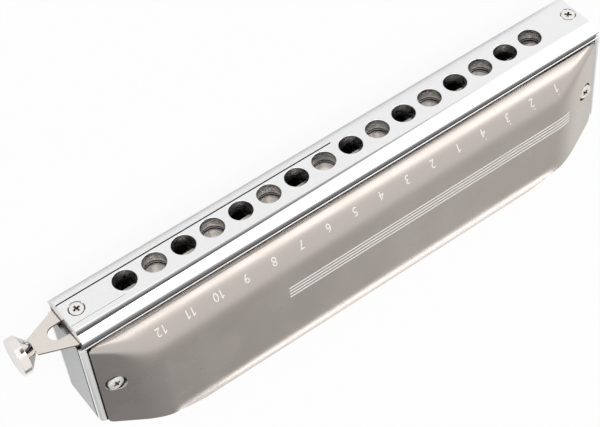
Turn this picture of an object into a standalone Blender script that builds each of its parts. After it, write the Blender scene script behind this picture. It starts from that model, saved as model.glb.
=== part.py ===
"""A sixteen hole chromatic harmonica in separate pieces, from its comb and reed plates to its covers and slide.

Units are metres. X runs along the instrument towards the button, Y back from the mouthpiece's face, Z is up.
Every piece is drawn about the hole row's centre, and one empty lifts the whole onto its lower cover.
"""
import math

import bmesh
import bpy
from mathutils import Vector

MM = 0.001

# Holes and slide travel
HOLE_COUNT = 16
PITCH = 9.3 * MM
HOLE_R = 3.4 * MM
HOLE_SIDES = 20
TRAVEL = PITCH / 2
WINDOW_W = 4.2 * MM

# Clearances: between neighbours, round a cone in its seat, and past a face that a cutter goes through
GAP = 0.3 * MM
SEAT_GAP = 0.42 * MM
OVERCUT = 1.0 * MM

# Lengths beyond the end holes, and where other parts' ends and front edges lie against them
END_MARGIN = 18.95 * MM
COMB_PROUD = 1.1 * MM
PLATE_INSET = 0.1 * MM
LEDGE = 0.4 * MM
COVER_INSET = 1.1 * MM

# Stack from the middle outwards
COMB_HALF = 6.75 * MM
PLATE_T = 1.3 * MM
SHEET_T = 0.7 * MM
COVER_RISE = 4.9 * MM

# Stack from the face backwards
MOUTH_T = 3.4 * MM
SLIP_T = 0.4 * MM
SLIDE_T = 0.6 * MM

# Plan outline
BACK_WALL = 6.5 * MM
COVER_OVERHANG = 3.7 * MM
CHAMFER_RUN = 18.8 * MM
CHAMFER_DROP = 6.4 * MM
CORNER_SOFT = 2.8 * MM
PLAN_CORNER = 2.4 * MM
CORNER_STEPS = 4

# Mouthpiece section
MOUTH_FLAT = 4.2 * MM
MOUTH_HALF = 9.0 * MM
SHOULDER_TURN = math.radians(54)
SHOULDER_STEPS = 5

# Comb chambers and reeds
CHAMBER_W = 7.3 * MM
WEB_HALF = 0.8 * MM
SHORT_CHAMBER = 16.0 * MM
LONG_CHAMBER = 34.0 * MM
SLOT_W = 2.3 * MM
SLOT_START = 5.0 * MM
SLOT_OFFSET = 1.9 * MM
REED_W = 1.9 * MM
REED_T = 0.25 * MM
PAD_L = 3.0 * MM
VALVE_T = 0.2 * MM
VALVE_ROOT = 1.3 * MM

# Slide box
SLIP_HALF = 8.0 * MM
RAIL_H = 0.8 * MM
WINDOW_LOW = 0.6 * MM
WINDOW_HIGH = 4.9 * MM
SLIDE_TAIL = 2.5 * MM
ARM_R = 2.5 * MM
ARM_LENGTH = 9.8 * MM
ARM_TIP_HALF = 3.0 * MM
ARM_STEPS = 8
TONGUE_L = 2.4 * MM
TONGUE_HALF = 1.5 * MM

# Button
BUTTON_R = 5.5 * MM
BUTTON_RIM = 2.5 * MM
BUTTON_CONE = 2.7 * MM
BUTTON_SOFT = 0.5 * MM
BUTTON_SIDES = 28
STEM_R = 2.3 * MM
RIVET_R = 0.5 * MM
RIVET_SINK = 0.2 * MM
RIVET_SIDES = 8

# Screws
MOUTH_SCREW_INSET = 4.15 * MM
MOUTH_HEAD_R = 2.0 * MM
HEAD_RIM = 0.2 * MM
SHANK_R = 0.9 * MM
SCREW_DEPTH = 6.0 * MM
SCREW_SIDES = 12
COVER_SCREW_INSET = 4.4 * MM
COVER_SCREW_Y = 23.35 * MM
HEAD_R = 2.4 * MM
HEAD_T = 1.2 * MM
HEAD_DOME = 0.5 * MM
DIMPLE_FLOOR_R = 2.8 * MM
DIMPLE_R = 3.6 * MM
PLATE_SCREWS = 3
PLATE_SCREW_R = 0.8 * MM
PLATE_HEAD_R = 1.5 * MM
PLATE_HEAD_T = 0.6 * MM
PLATE_SCREW_SIDES = 8

# Cover surface
FRONT_RAMP = 17.5 * MM
FRONT_POWER = 5
FRONT_EDGE = 4.0 * MM
END_RAMP = 13.7 * MM
HIP_SOFT = 2.3 * MM
LIP_DROP = 1.4 * MM
LIP_RUN = 8.0 * MM
ROLL_FADE = 8.0 * MM

# Spring
WIRE_R = 0.25 * MM
SLEEVE_R = 1.7 * MM
SPRING_START = math.radians(-60)
SPRING_TURN = math.radians(-240)
SPRING_STEPS = 6

# Faces that meet at less than this angle are shaded as one
SMOOTH_ANGLE = math.radians(35)

# Places worked out from the sizes above
HOLES = [((HOLE_COUNT - 1) / 2 - i) * PITCH for i in range(HOLE_COUNT)]
ROWS = [-1 if i % 2 == 0 else 1 for i in range(HOLE_COUNT)]
ENDS = ("right", "left")
SLIP_FRONT = MOUTH_T + GAP
SLIDE_FRONT = SLIP_FRONT + SLIP_T + GAP
SLIDE_MID = SLIDE_FRONT + SLIDE_T / 2
BASE_FRONT = SLIDE_FRONT + SLIDE_T + GAP
COMB_FRONT = BASE_FRONT + SLIP_T + GAP
SLOTS_FRONT = COMB_FRONT + SLOT_START
COVER_FRONT = COMB_FRONT + LEDGE + GAP
COMB_BACK = COMB_FRONT + LONG_CHAMBER + BACK_WALL
COVER_BACK = COMB_BACK + COVER_OVERHANG
PLATE_LOW = COMB_HALF + GAP
PLATE_HIGH = PLATE_LOW + PLATE_T
SHEET_LOW = PLATE_HIGH + GAP
SHEET_HIGH = SHEET_LOW + SHEET_T
HALF_HEIGHT = SHEET_HIGH + COVER_RISE
BODY_HALF = HOLES[0] + END_MARGIN
COMB_REACH = BODY_HALF + COMB_PROUD
PLATE_REACH = COMB_REACH - PLATE_INSET
COVER_HALF = BODY_HALF - COVER_INSET
MOUTH_SCREW_X = BODY_HALF - MOUTH_SCREW_INSET
COVER_SCREW_X = COVER_HALF - COVER_SCREW_INSET
SLIDE_HALF = SLIP_HALF - RAIL_H - GAP
PLATE_SCREW_Y = COMB_BACK - BACK_WALL / 2
PLATE_SCREW_SPAN = HOLES[0] - PITCH
REST_Y = (COVER_FRONT + FRONT_RAMP + COVER_BACK - LIP_RUN) / 2
SLIDE_TAIL_X = HOLES[-1] - WINDOW_W / 2 - SLIDE_TAIL
ARM_BASE = BODY_HALF + GAP
ARM_TIP = ARM_BASE + ARM_LENGTH
RIVET_X = ARM_TIP + TONGUE_L / 2


def clear_scene():
    """Removes whatever the file opened with."""
    for thing in list(bpy.data.objects):
        bpy.data.objects.remove(thing, do_unlink=True)


def finish(name, colour, roughness, metallic):
    """One plain Principled material."""
    material = bpy.data.materials.new(name)
    material.use_nodes = True
    shader = material.node_tree.nodes["Principled BSDF"]
    shader.inputs["Base Color"].default_value = (*colour, 1.0)
    shader.inputs["Roughness"].default_value = roughness
    shader.inputs["Metallic"].default_value = metallic
    return material


def piece(name, bm, material, smooth=False):
    """Turns a bmesh into a named object that hangs from the frame empty."""
    bmesh.ops.recalc_face_normals(bm, faces=bm.faces)
    mesh = bpy.data.meshes.new(name)
    bm.to_mesh(mesh)
    bm.free()
    obj = bpy.data.objects.new(name, mesh)
    bpy.context.scene.collection.objects.link(obj)
    obj.parent = FRAME
    mesh.materials.append(material)
    if smooth:
        mesh.shade_smooth()
        mesh.set_sharp_from_angle(angle=SMOOTH_ANGLE)
    return obj


def add_box(bm, low, high):
    """A box between two corners."""
    places = [(x, y, z) for x in (low[0], high[0]) for y in (low[1], high[1]) for z in (low[2], high[2])]
    corners = [bm.verts.new(place) for place in places]
    for quad in ((0, 1, 3, 2), (4, 6, 7, 5), (0, 4, 5, 1), (2, 3, 7, 6), (0, 2, 6, 4), (1, 5, 7, 3)):
        bm.faces.new([corners[i] for i in quad])


def add_prism(bm, outline, place, step):
    """An outline of (a, b) pairs, set in space by place(a, b), and drawn out by the vector step."""
    base = [bm.verts.new(place(a, b)) for a, b in outline]
    face = bm.faces.new(base)
    made = bmesh.ops.extrude_face_region(bm, geom=[face])
    top = [v for v in made["geom"] if isinstance(v, bmesh.types.BMVert)]
    bmesh.ops.translate(bm, verts=top, vec=step)


def add_turned(bm, profile, origin, axis, sides):
    """A closed turned solid: profile is (distance along the axis, radius), from any radius to any radius."""
    axis = Vector(axis).normalized()
    side = axis.orthogonal().normalized()
    other = axis.cross(side)
    rings = []
    for along, radius in profile:
        ring = []
        for k in range(sides):
            turn = 2 * math.pi * k / sides
            spoke = side * math.cos(turn) + other * math.sin(turn)
            ring.append(bm.verts.new(Vector(origin) + axis * along + spoke * radius))
        rings.append(ring)
    for ring, after in zip(rings, rings[1:]):
        for k in range(sides):
            bm.faces.new((ring[k], ring[(k + 1) % sides], after[(k + 1) % sides], after[k]))
    bm.faces.new(list(reversed(rings[0])))
    bm.faces.new(rings[-1])


def arc(centre, radius, start, turn, steps):
    """Points along an arc in a plane, from the angle start through the angle turn."""
    angles = [start + turn * k / steps for k in range(steps + 1)]
    return [(centre[0] + radius * math.cos(a), centre[1] + radius * math.sin(a)) for a in angles]


def clamp(share):
    """Holds a share between 0 and 1."""
    return min(max(share, 0), 1)


def soft_min(a, b, soft):
    """The lower of two values, rounded off where they differ by less than soft."""
    close = max(soft - abs(a - b), 0) / soft
    return min(a, b) - close * close * soft / 4


def cut(obj, bm, name):
    """Cuts a bmesh of separate closed shapes out of an object with an exact Boolean."""
    cutter = piece(name, bm, obj.data.materials[0])
    cutter.hide_render = True
    cutter.display_type = "WIRE"
    boolean = obj.modifiers.new(name, "BOOLEAN")
    boolean.operation = "DIFFERENCE"
    boolean.solver = "EXACT"
    boolean.object = cutter


def slant(x):
    """The line of the slanted back corners, which comb, plates and covers share."""
    return COMB_BACK - CHAMFER_DROP + (COVER_HALF - abs(x)) * CHAMFER_DROP / CHAMFER_RUN


def plan_outline(half):
    """The comb's and plates' outline from above: slanted at the back, rounded where the slant meets the end."""
    turn = math.pi / 2 - math.atan2(CHAMFER_DROP, CHAMFER_RUN)
    centre = (half - PLAN_CORNER, slant(half) - PLAN_CORNER * math.tan(turn / 2))
    right = [(half, COMB_FRONT)] + arc(centre, PLAN_CORNER, 0, turn, CORNER_STEPS)
    right.append((COVER_HALF - CHAMFER_RUN, COMB_BACK))
    return right + [(-x, y) for x, y in reversed(right)]


def chamber_length(i):
    """Chambers grow from the high notes by the button to the low notes at the far end."""
    return SHORT_CHAMBER + (LONG_CHAMBER - SHORT_CHAMBER) * i / (HOLE_COUNT - 1)


def slot_end(i):
    """The back end of the reed slots over one chamber."""
    return COMB_FRONT + chamber_length(i) - PAD_L - GAP


def plate_screw_places():
    """The row of small screws behind the chambers."""
    step = 2 * PLATE_SCREW_SPAN / (PLATE_SCREWS - 1)
    return [(-PLATE_SCREW_SPAN + step * i, PLATE_SCREW_Y) for i in range(PLATE_SCREWS)]


def add_vertical_holes(bm, places, radius, low, high):
    """Round cutters that stand along Z."""
    for x, y in places:
        add_turned(bm, [(0, radius), (high - low, radius)], (x, y, low), (0, 0, 1), SCREW_SIDES)


def cover_screw_places():
    """The two cover screws, one at each end."""
    return [(COVER_SCREW_X, COVER_SCREW_Y), (-COVER_SCREW_X, COVER_SCREW_Y)]


def add_shank_holes(bm, start, reach):
    """Round cutters along Y for the two mouthpiece screws."""
    for x in (MOUTH_SCREW_X, -MOUTH_SCREW_X):
        add_turned(bm, [(0, SHANK_R + GAP), (reach, SHANK_R + GAP)], (x, start, 0), (0, 1, 0), SCREW_SIDES)


def make_comb(metal):
    """The thick metal comb: a chamber above and one below the web behind each hole."""
    bm = bmesh.new()
    add_prism(bm, plan_outline(COMB_REACH), lambda a, b: (a, b, -COMB_HALF), (0, 0, 2 * COMB_HALF))
    comb = piece("comb", bm, metal)
    outside = COMB_HALF + OVERCUT
    bm = bmesh.new()
    for i, x in enumerate(HOLES):
        back = COMB_FRONT + chamber_length(i)
        for side in (1, -1):
            levels = sorted((side * WEB_HALF, side * outside))
            low = (x - CHAMBER_W / 2, COMB_FRONT - OVERCUT, levels[0])
            add_box(bm, low, (x + CHAMBER_W / 2, back, levels[1]))
    cut(comb, bm, "comb_chambers")
    bm = bmesh.new()
    strip_half = HOLES[0] + SLOT_OFFSET + REED_W / 2 + GAP
    for side in (1, -1):
        levels = sorted((side * (COMB_HALF - REED_T - GAP), side * outside))
        low = (-strip_half, SLOTS_FRONT - PAD_L - GAP, levels[0])
        add_box(bm, low, (strip_half, SLOTS_FRONT + GAP, levels[1]))
    cut(comb, bm, "reed_strip_relief")
    bm = bmesh.new()
    places = [(place, SHANK_R + GAP) for place in cover_screw_places()]
    places += [(place, PLATE_SCREW_R + GAP) for place in plate_screw_places()]
    for side in (1, -1):
        for (x, y), radius in places:
            profile = [(0, radius), (outside - WEB_HALF, radius)]
            add_turned(bm, profile, (x, y, side * outside), (0, 0, -side), SCREW_SIDES)
    add_shank_holes(bm, COMB_FRONT - OVERCUT, OVERCUT + SCREW_DEPTH + GAP)
    cut(comb, bm, "comb_screw_holes")
    return comb


def make_reed_plate(name, side, brass):
    """A reed plate with a pair of reed slots over each chamber, proud of the cover all round."""
    bm = bmesh.new()
    base = side * PLATE_LOW
    add_prism(bm, plan_outline(PLATE_REACH), lambda a, b: (a, b, base), (0, 0, side * PLATE_T))
    plate = piece(name, bm, brass)
    low = min(side * PLATE_LOW, side * PLATE_HIGH) - OVERCUT
    high = max(side * PLATE_LOW, side * PLATE_HIGH) + OVERCUT
    bm = bmesh.new()
    for i, x in enumerate(HOLES):
        for shift in (-SLOT_OFFSET, SLOT_OFFSET):
            corner = (x + shift - SLOT_W / 2, SLOTS_FRONT, low)
            add_box(bm, corner, (x + shift + SLOT_W / 2, slot_end(i), high))
    add_vertical_holes(bm, cover_screw_places(), SHANK_R + GAP, low, high)
    add_vertical_holes(bm, plate_screw_places(), PLATE_SCREW_R + GAP, low, high)
    cut(plate, bm, name + "_slots")
    return plate


def toothed_outline(strip, teeth):
    """A strip with teeth: strip is (x, near edge, far edge), teeth (low x, high x, tip), both by falling x."""
    near = []
    for (x, edge, _), (low, high, tip) in zip(strip, teeth):
        near += [(high, edge), (high, tip), (low, tip), (low, edge)]
    return near + [(x, far) for x, _, far in reversed(strip)]


def make_toothed(name, strip, teeth, level, thickness, material):
    """A thin toothed sheet cut from one strip, lying level with a plate's face."""
    bm = bmesh.new()
    add_prism(bm, toothed_outline(strip, teeth), lambda a, b: (a, b, level), (0, 0, thickness))
    return piece(name, bm, material)


def tooth(middle, tip):
    """One tooth, a reed's width across."""
    return (middle - REED_W / 2, middle + REED_W / 2, tip)


def make_draw_reeds(name, side, metal):
    """The outer reeds of one plate, rooted behind their slots."""
    strip = [(x + SLOT_OFFSET, slot_end(i), slot_end(i) + PAD_L) for i, x in enumerate(HOLES)]
    teeth = [tooth(x + SLOT_OFFSET, SLOTS_FRONT + GAP) for x in HOLES]
    return make_toothed(name, strip, teeth, side * (PLATE_HIGH + GAP), side * REED_T, metal)


def make_blow_reeds(name, side, metal):
    """The inner reeds of one plate, rooted in front of their slots, where the comb is relieved for them."""
    strip = [(x - SLOT_OFFSET, SLOTS_FRONT, SLOTS_FRONT - PAD_L) for x in HOLES]
    teeth = [tooth(x - SLOT_OFFSET, slot_end(i) - GAP) for i, x in enumerate(HOLES)]
    return make_toothed(name, strip, teeth, side * (PLATE_LOW - GAP), -side * REED_T, metal)


def make_valves(name, side, film):
    """The outer valve strips of one plate, each over the slot whose reed is on the inner face."""
    strip = [(x - SLOT_OFFSET, SLOTS_FRONT - GAP, SLOTS_FRONT - GAP - VALVE_ROOT) for x in HOLES]
    teeth = [tooth(x - SLOT_OFFSET, slot_end(i) - GAP) for i, x in enumerate(HOLES)]
    return make_toothed(name, strip, teeth, side * (PLATE_HIGH + GAP), side * VALVE_T, film)


def front_ease(y):
    """How far the cover has risen behind its front edge, from 0 to 1."""
    return 1 - (1 - clamp((y - COVER_FRONT) / FRONT_RAMP)) ** FRONT_POWER


def cover_back(x):
    """The cover's back edge at one place along its length: straight, a soft corner, then slanted."""
    return soft_min(COVER_BACK, slant(x), CORNER_SOFT)


def cover_level(x, y):
    """The outer surface's height over the flange: eased front, flat end ramps, screw dimples, rolled back."""
    inward = COVER_HALF - abs(x)
    rise = max(soft_min(front_ease(y), inward / END_RAMP, HIP_SOFT / END_RAMP), 0)
    away = math.hypot(abs(x) - COVER_SCREW_X, y - COVER_SCREW_Y)
    dimple = clamp((away - DIMPLE_FLOOR_R) / (DIMPLE_R - DIMPLE_FLOOR_R))
    roll = clamp((y - COVER_BACK + LIP_RUN) / LIP_RUN)
    fade = clamp((inward - END_RAMP) / ROLL_FADE)
    return COVER_RISE * rise * dimple - LIP_DROP * fade * roll * roll


def dimple_lines(centre):
    """Grid lines that draw a dimple as an octagon in an octagon."""
    corner = math.pi / 8
    reach = [DIMPLE_FLOOR_R * math.sin(corner), DIMPLE_FLOOR_R * math.cos(corner), DIMPLE_R]
    return [centre - r for r in reversed(reach)] + [centre + r for r in reach]


def stations(marks, counts):
    """Splits each stretch between marks into a number of equal steps."""
    places = [marks[0]]
    for start, end, count in zip(marks, marks[1:], counts):
        places += [start + (end - start) * (k + 1) / count for k in range(count)]
    return places


def cover_grid():
    """The cover's blank as a grid of places: columns along X, each with its rows from front to back."""
    hip = COVER_HALF - END_RAMP
    drawn_in = COVER_BACK + CORNER_SOFT - COMB_BACK + CHAMFER_DROP
    soft_corner = COVER_HALF - drawn_in * CHAMFER_RUN / CHAMFER_DROP
    marks = [0, soft_corner, hip - ROLL_FADE, hip - HIP_SOFT, hip + HIP_SOFT]
    half = stations(marks, [1, 4, 2, 2]) + dimple_lines(COVER_SCREW_X) + [COVER_HALF]
    across = dimple_lines(COVER_SCREW_Y)
    fixed = stations([COVER_FRONT, COVER_FRONT + FRONT_EDGE, across[0]], [4, 4]) + across[1:]
    grid = []
    for x in [-x for x in reversed(half[1:])] + half:
        back = cover_back(x)
        rows = fixed + stations([fixed[-1], back - LIP_RUN, back], [1, 4])[1:]
        grid.append([(x, y) for y in rows])
    return grid


def add_folded(bm, corners):
    """Two triangles in place of a quad, folded along its lower diagonal."""
    a, b, c, d = corners
    if abs(a.co.z) + abs(c.co.z) > abs(b.co.z) + abs(d.co.z):
        a, b, c, d = b, c, d, a
    bm.faces.new((a, b, c))
    bm.faces.new((a, c, d))


def make_cover(name, side, metal):
    """One stamped cover: a raised sheet on a flat flange, open along the back under its rolled lip."""
    blank = cover_grid()
    bm = bmesh.new()
    skins = []
    for depth in (0, SHEET_T):
        level = SHEET_HIGH - depth
        skin = []
        for line in blank:
            skin.append([bm.verts.new((x, y, side * (level + cover_level(x, y)))) for x, y in line])
        skins.append(skin)
    outer, inner = skins
    last = len(blank[0]) - 1
    for a in range(len(blank) - 1):
        for b in range(last):
            for skin in skins:
                add_folded(bm, (skin[a][b], skin[a + 1][b], skin[a + 1][b + 1], skin[a][b + 1]))
        for b in (0, last):
            bm.faces.new((outer[a][b], outer[a + 1][b], inner[a + 1][b], inner[a][b]))
    for a in (0, len(blank) - 1):
        for b in range(last):
            bm.faces.new((outer[a][b], outer[a][b + 1], inner[a][b + 1], inner[a][b]))
    bmesh.ops.triangulate(bm, faces=bm.faces)
    cover = piece(name, bm, metal, smooth=True)
    bm = bmesh.new()
    ends = sorted((side * (SHEET_LOW - OVERCUT), side * (SHEET_HIGH + OVERCUT)))
    add_vertical_holes(bm, cover_screw_places(), SHANK_R + GAP, ends[0], ends[1])
    cut(cover, bm, name + "_holes")
    return cover


def make_cover_screws(name, side, steel):
    """A pair of screws that hold one cover and its plate to the comb."""
    top = SHEET_HIGH + GAP + HEAD_T
    reach = HEAD_T + SCREW_DEPTH
    profile = [(0, HEAD_R - HEAD_DOME), (HEAD_DOME, HEAD_R), (HEAD_T, HEAD_R)]
    profile += [(HEAD_T, SHANK_R), (reach, SHANK_R)]
    for (x, y), end in zip(cover_screw_places(), ENDS):
        bm = bmesh.new()
        add_turned(bm, profile, (x, y, side * top), (0, 0, -side), SCREW_SIDES)
        piece(name + "_" + end, bm, steel, smooth=True)


def make_plate_screws(name, side, steel):
    """The small screws that hold one reed plate down behind the chambers."""
    top = PLATE_HIGH + GAP + PLATE_HEAD_T
    reach = PLATE_HEAD_T + SCREW_DEPTH
    profile = [(0, PLATE_HEAD_R), (PLATE_HEAD_T, PLATE_HEAD_R)]
    profile += [(PLATE_HEAD_T, PLATE_SCREW_R), (reach, PLATE_SCREW_R)]
    for i, (x, y) in enumerate(plate_screw_places()):
        bm = bmesh.new()
        add_turned(bm, profile, (x, y, side * top), (0, 0, -side), PLATE_SCREW_SIDES)
        piece(f"{name}_{i + 1}", bm, steel)


def mouth_section():
    """The mouthpiece's section: flat face, round shoulders that still slope where they end, flat back."""
    deep = MOUTH_T / (1 - math.cos(SHOULDER_TURN))
    high = (MOUTH_HALF - MOUTH_FLAT) / math.sin(SHOULDER_TURN)
    turns = arc((0, 0), 1, 0, SHOULDER_TURN, SHOULDER_STEPS)
    upper = [(deep * (1 - a), MOUTH_FLAT + high * b) for a, b in turns]
    return upper + [(y, -z) for y, z in reversed(upper)]


def make_mouthpiece(chrome):
    """The chromed mouthpiece with its sixteen round holes and two countersunk screw seats."""
    bm = bmesh.new()
    add_prism(bm, mouth_section(), lambda a, b: (-BODY_HALF, a, b), (2 * BODY_HALF, 0, 0))
    mouthpiece = piece("mouthpiece", bm, chrome, smooth=True)
    bm = bmesh.new()
    reach = MOUTH_T + 2 * OVERCUT
    for x in HOLES:
        add_turned(bm, [(0, HOLE_R), (reach, HOLE_R)], (x, -OVERCUT, 0), (0, 1, 0), HOLE_SIDES)
    seat = MOUTH_HEAD_R + SEAT_GAP
    bore = SHANK_R + GAP
    rim = OVERCUT + HEAD_RIM
    profile = [(0, seat), (rim, seat), (rim + seat - bore, bore), (reach, bore)]
    for x in (MOUTH_SCREW_X, -MOUTH_SCREW_X):
        add_turned(bm, profile, (x, -OVERCUT, 0), (0, 1, 0), SCREW_SIDES)
    cut(mouthpiece, bm, "mouthpiece_holes")
    return mouthpiece


def make_mouthpiece_screws(steel):
    """Two countersunk screws through the mouthpiece and the slide box into the comb."""
    shoulder = HEAD_RIM + MOUTH_HEAD_R - SHANK_R
    profile = [(0, MOUTH_HEAD_R), (HEAD_RIM, MOUTH_HEAD_R)]
    profile += [(shoulder, SHANK_R), (COMB_FRONT + SCREW_DEPTH, SHANK_R)]
    for x, end in zip((MOUTH_SCREW_X, -MOUTH_SCREW_X), ENDS):
        bm = bmesh.new()
        add_turned(bm, profile, (x, 0, 0), (0, 1, 0), SCREW_SIDES)
        piece("mouthpiece_screw_" + end, bm, steel, smooth=True)


def make_front_slip(metal):
    """The thin plate between the mouthpiece and the slide."""
    bm = bmesh.new()
    add_box(bm, (-BODY_HALF, SLIP_FRONT, -SLIP_HALF), (BODY_HALF, SLIP_FRONT + SLIP_T, SLIP_HALF))
    slip = piece("slide_front_plate", bm, metal)
    bm = bmesh.new()
    start = SLIP_FRONT - GAP / 2
    for x in HOLES:
        add_turned(bm, [(0, HOLE_R), (SLIP_T + GAP, HOLE_R)], (x, start, 0), (0, 1, 0), SCREW_SIDES)
    add_shank_holes(bm, start, SLIP_T + GAP)
    cut(slip, bm, "front_plate_holes")
    return slip


def make_back_slip(metal):
    """The thin plate behind the slide: a pair of windows for each hole, and rails that guide the slide."""
    bm = bmesh.new()
    profile = [(SLIDE_FRONT, SLIP_HALF), (SLIDE_FRONT, SLIP_HALF - RAIL_H), (BASE_FRONT, SLIP_HALF - RAIL_H)]
    profile += [(y, -z) for y, z in reversed(profile)]
    profile += [(BASE_FRONT + SLIP_T, -SLIP_HALF), (BASE_FRONT + SLIP_T, SLIP_HALF)]
    add_prism(bm, profile, lambda a, b: (-BODY_HALF, a, b), (2 * BODY_HALF, 0, 0))
    slip = piece("slide_back_plate", bm, metal)
    bm = bmesh.new()
    start = BASE_FRONT - GAP / 2
    end = BASE_FRONT + SLIP_T + GAP / 2
    for x in HOLES:
        for side in (1, -1):
            levels = sorted((side * WINDOW_LOW, side * WINDOW_HIGH))
            add_box(bm, (x - WINDOW_W / 2, start, levels[0]), (x + WINDOW_W / 2, end, levels[1]))
    add_shank_holes(bm, start, end - start)
    cut(slip, bm, "back_plate_windows")
    return slip


def slide_outline():
    """The slide with its arm, which narrows to the tongue that the button holds."""
    upper = [(ARM_TIP + TONGUE_L, TONGUE_HALF), (ARM_TIP, TONGUE_HALF), (ARM_TIP, ARM_TIP_HALF)]
    upper += [(ARM_BASE + GAP, SLIDE_HALF), (SLIDE_TAIL_X, SLIDE_HALF)]
    return upper + [(x, -z) for x, z in reversed(upper)]


def make_slide(nickel):
    """The slide: each hole has a window open at rest and one in the other row that opens when it is pushed."""
    bm = bmesh.new()
    add_prism(bm, slide_outline(), lambda a, b: (a, SLIDE_FRONT, b), (0, SLIDE_T, 0))
    slide = piece("slide", bm, nickel)
    start = SLIDE_FRONT - GAP / 2
    end = SLIDE_FRONT + SLIDE_T + GAP / 2
    windows = [(HOLES[0] + TRAVEL - WINDOW_W / 2, HOLES[0] + TRAVEL + WINDOW_W / 2, -ROWS[0])]
    for i, x in enumerate(HOLES):
        low = x - WINDOW_W / 2 - (TRAVEL if i < HOLE_COUNT - 1 else 0)
        windows.append((low, x + WINDOW_W / 2, ROWS[i]))
    bm = bmesh.new()
    for low, high, row in windows:
        levels = sorted((row * WINDOW_LOW, row * WINDOW_HIGH))
        add_box(bm, (low, start, levels[0]), (high, end, levels[1]))
    slot_low = MOUTH_SCREW_X - SLEEVE_R - GAP
    outline = [(slot_low, -ARM_R), (slot_low, ARM_R)]
    outline += arc((ARM_BASE + ARM_R, 0), ARM_R, math.pi / 2, -math.pi, ARM_STEPS)
    add_prism(bm, outline, lambda a, b: (a, start, b), (0, end - start, 0))
    profile = [(0, RIVET_R + GAP), (end - start, RIVET_R + GAP)]
    add_turned(bm, profile, (RIVET_X, start, 0), (0, 1, 0), RIVET_SIDES)
    cut(slide, bm, "slide_windows")
    return slide


def make_button(nickel):
    """The mushroom button: a short cone that swells into a thick rim, slotted for the slide's tongue."""
    bm = bmesh.new()
    length = BUTTON_CONE + BUTTON_RIM
    profile = [(0, STEM_R), (BUTTON_CONE, BUTTON_R - BUTTON_SOFT / 2), (BUTTON_CONE + BUTTON_SOFT, BUTTON_R)]
    profile += [(length - BUTTON_SOFT, BUTTON_R), (length, BUTTON_R - BUTTON_SOFT)]
    start = ARM_TIP + GAP
    add_turned(bm, profile, (start, SLIDE_MID, 0), (1, 0, 0), BUTTON_SIDES)
    button = piece("button", bm, nickel, smooth=True)
    bm = bmesh.new()
    half = SLIDE_T / 2 + GAP
    low = (start - OVERCUT, SLIDE_MID - half, -TONGUE_HALF - GAP)
    add_box(bm, low, (ARM_TIP + TONGUE_L + GAP, SLIDE_MID + half, TONGUE_HALF + GAP))
    cut(button, bm, "button_slot")
    bm = bmesh.new()
    reach = BUTTON_R + OVERCUT
    profile = [(0, RIVET_R + GAP), (2 * reach, RIVET_R + GAP)]
    add_turned(bm, profile, (RIVET_X, SLIDE_MID - reach, 0), (0, 1, 0), RIVET_SIDES)
    cut(button, bm, "button_rivet_hole")
    return button


def make_button_rivet(steel):
    """The cross pin through the button's cone and the slide's tongue, sunk a little under the surface."""
    bm = bmesh.new()
    cone_r = STEM_R + (BUTTON_R - STEM_R) * (TONGUE_L / 2 - RIVET_R - GAP) / BUTTON_CONE
    half = cone_r - RIVET_SINK
    add_turned(bm, [(0, RIVET_R), (2 * half, RIVET_R)], (RIVET_X, SLIDE_MID - half, 0), (0, 1, 0), RIVET_SIDES)
    return piece("button_rivet", bm, steel)


def make_sleeve(name, x, rubber):
    """A soft sleeve round a mouthpiece screw: the slide's stop at one end, the spring's post at the other."""
    bm = bmesh.new()
    add_turned(bm, [(0, SLEEVE_R), (SLIDE_T, SLEEVE_R)], (x, SLIDE_FRONT, 0), (0, 1, 0), SCREW_SIDES)
    sleeve = piece(name, bm, rubber)
    bm = bmesh.new()
    start = SLIDE_FRONT - GAP / 2
    add_turned(bm, [(0, SHANK_R + GAP), (SLIDE_T + GAP, SHANK_R + GAP)], (x, start, 0), (0, 1, 0), SCREW_SIDES)
    cut(sleeve, bm, name + "_bore")
    return sleeve


def make_spring(steel):
    """The wire spring: one leg rests on the rail at the far end, the other pushes the slide out."""
    bend = SLEEVE_R + GAP + WIRE_R
    reach = SLIDE_HALF - 2 * GAP - WIRE_R
    points = [(SLIDE_TAIL_X - GAP - WIRE_R, -reach)]
    points += arc((-MOUTH_SCREW_X, 0), bend, SPRING_START, SPRING_TURN, SPRING_STEPS)
    points.append((-BODY_HALF + GAP + WIRE_R, reach))
    curve = bpy.data.curves.new("slide_spring", "CURVE")
    curve.dimensions = "3D"
    curve.bevel_depth = WIRE_R
    curve.bevel_resolution = 1
    curve.use_fill_caps = True
    line = curve.splines.new("POLY")
    line.points.add(len(points) - 1)
    for point, (x, z) in zip(line.points, points):
        point.co = (x, SLIDE_MID, z, 1)
    spring = bpy.data.objects.new("slide_spring", curve)
    bpy.context.scene.collection.objects.link(spring)
    spring.parent = FRAME
    curve.materials.append(steel)
    return spring


clear_scene()
FRAME = bpy.data.objects.new("harmonica_frame", None)
FRAME.location = (0, -REST_Y, HALF_HEIGHT)
bpy.context.scene.collection.objects.link(FRAME)
bpy.context.view_layer.update()

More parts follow.
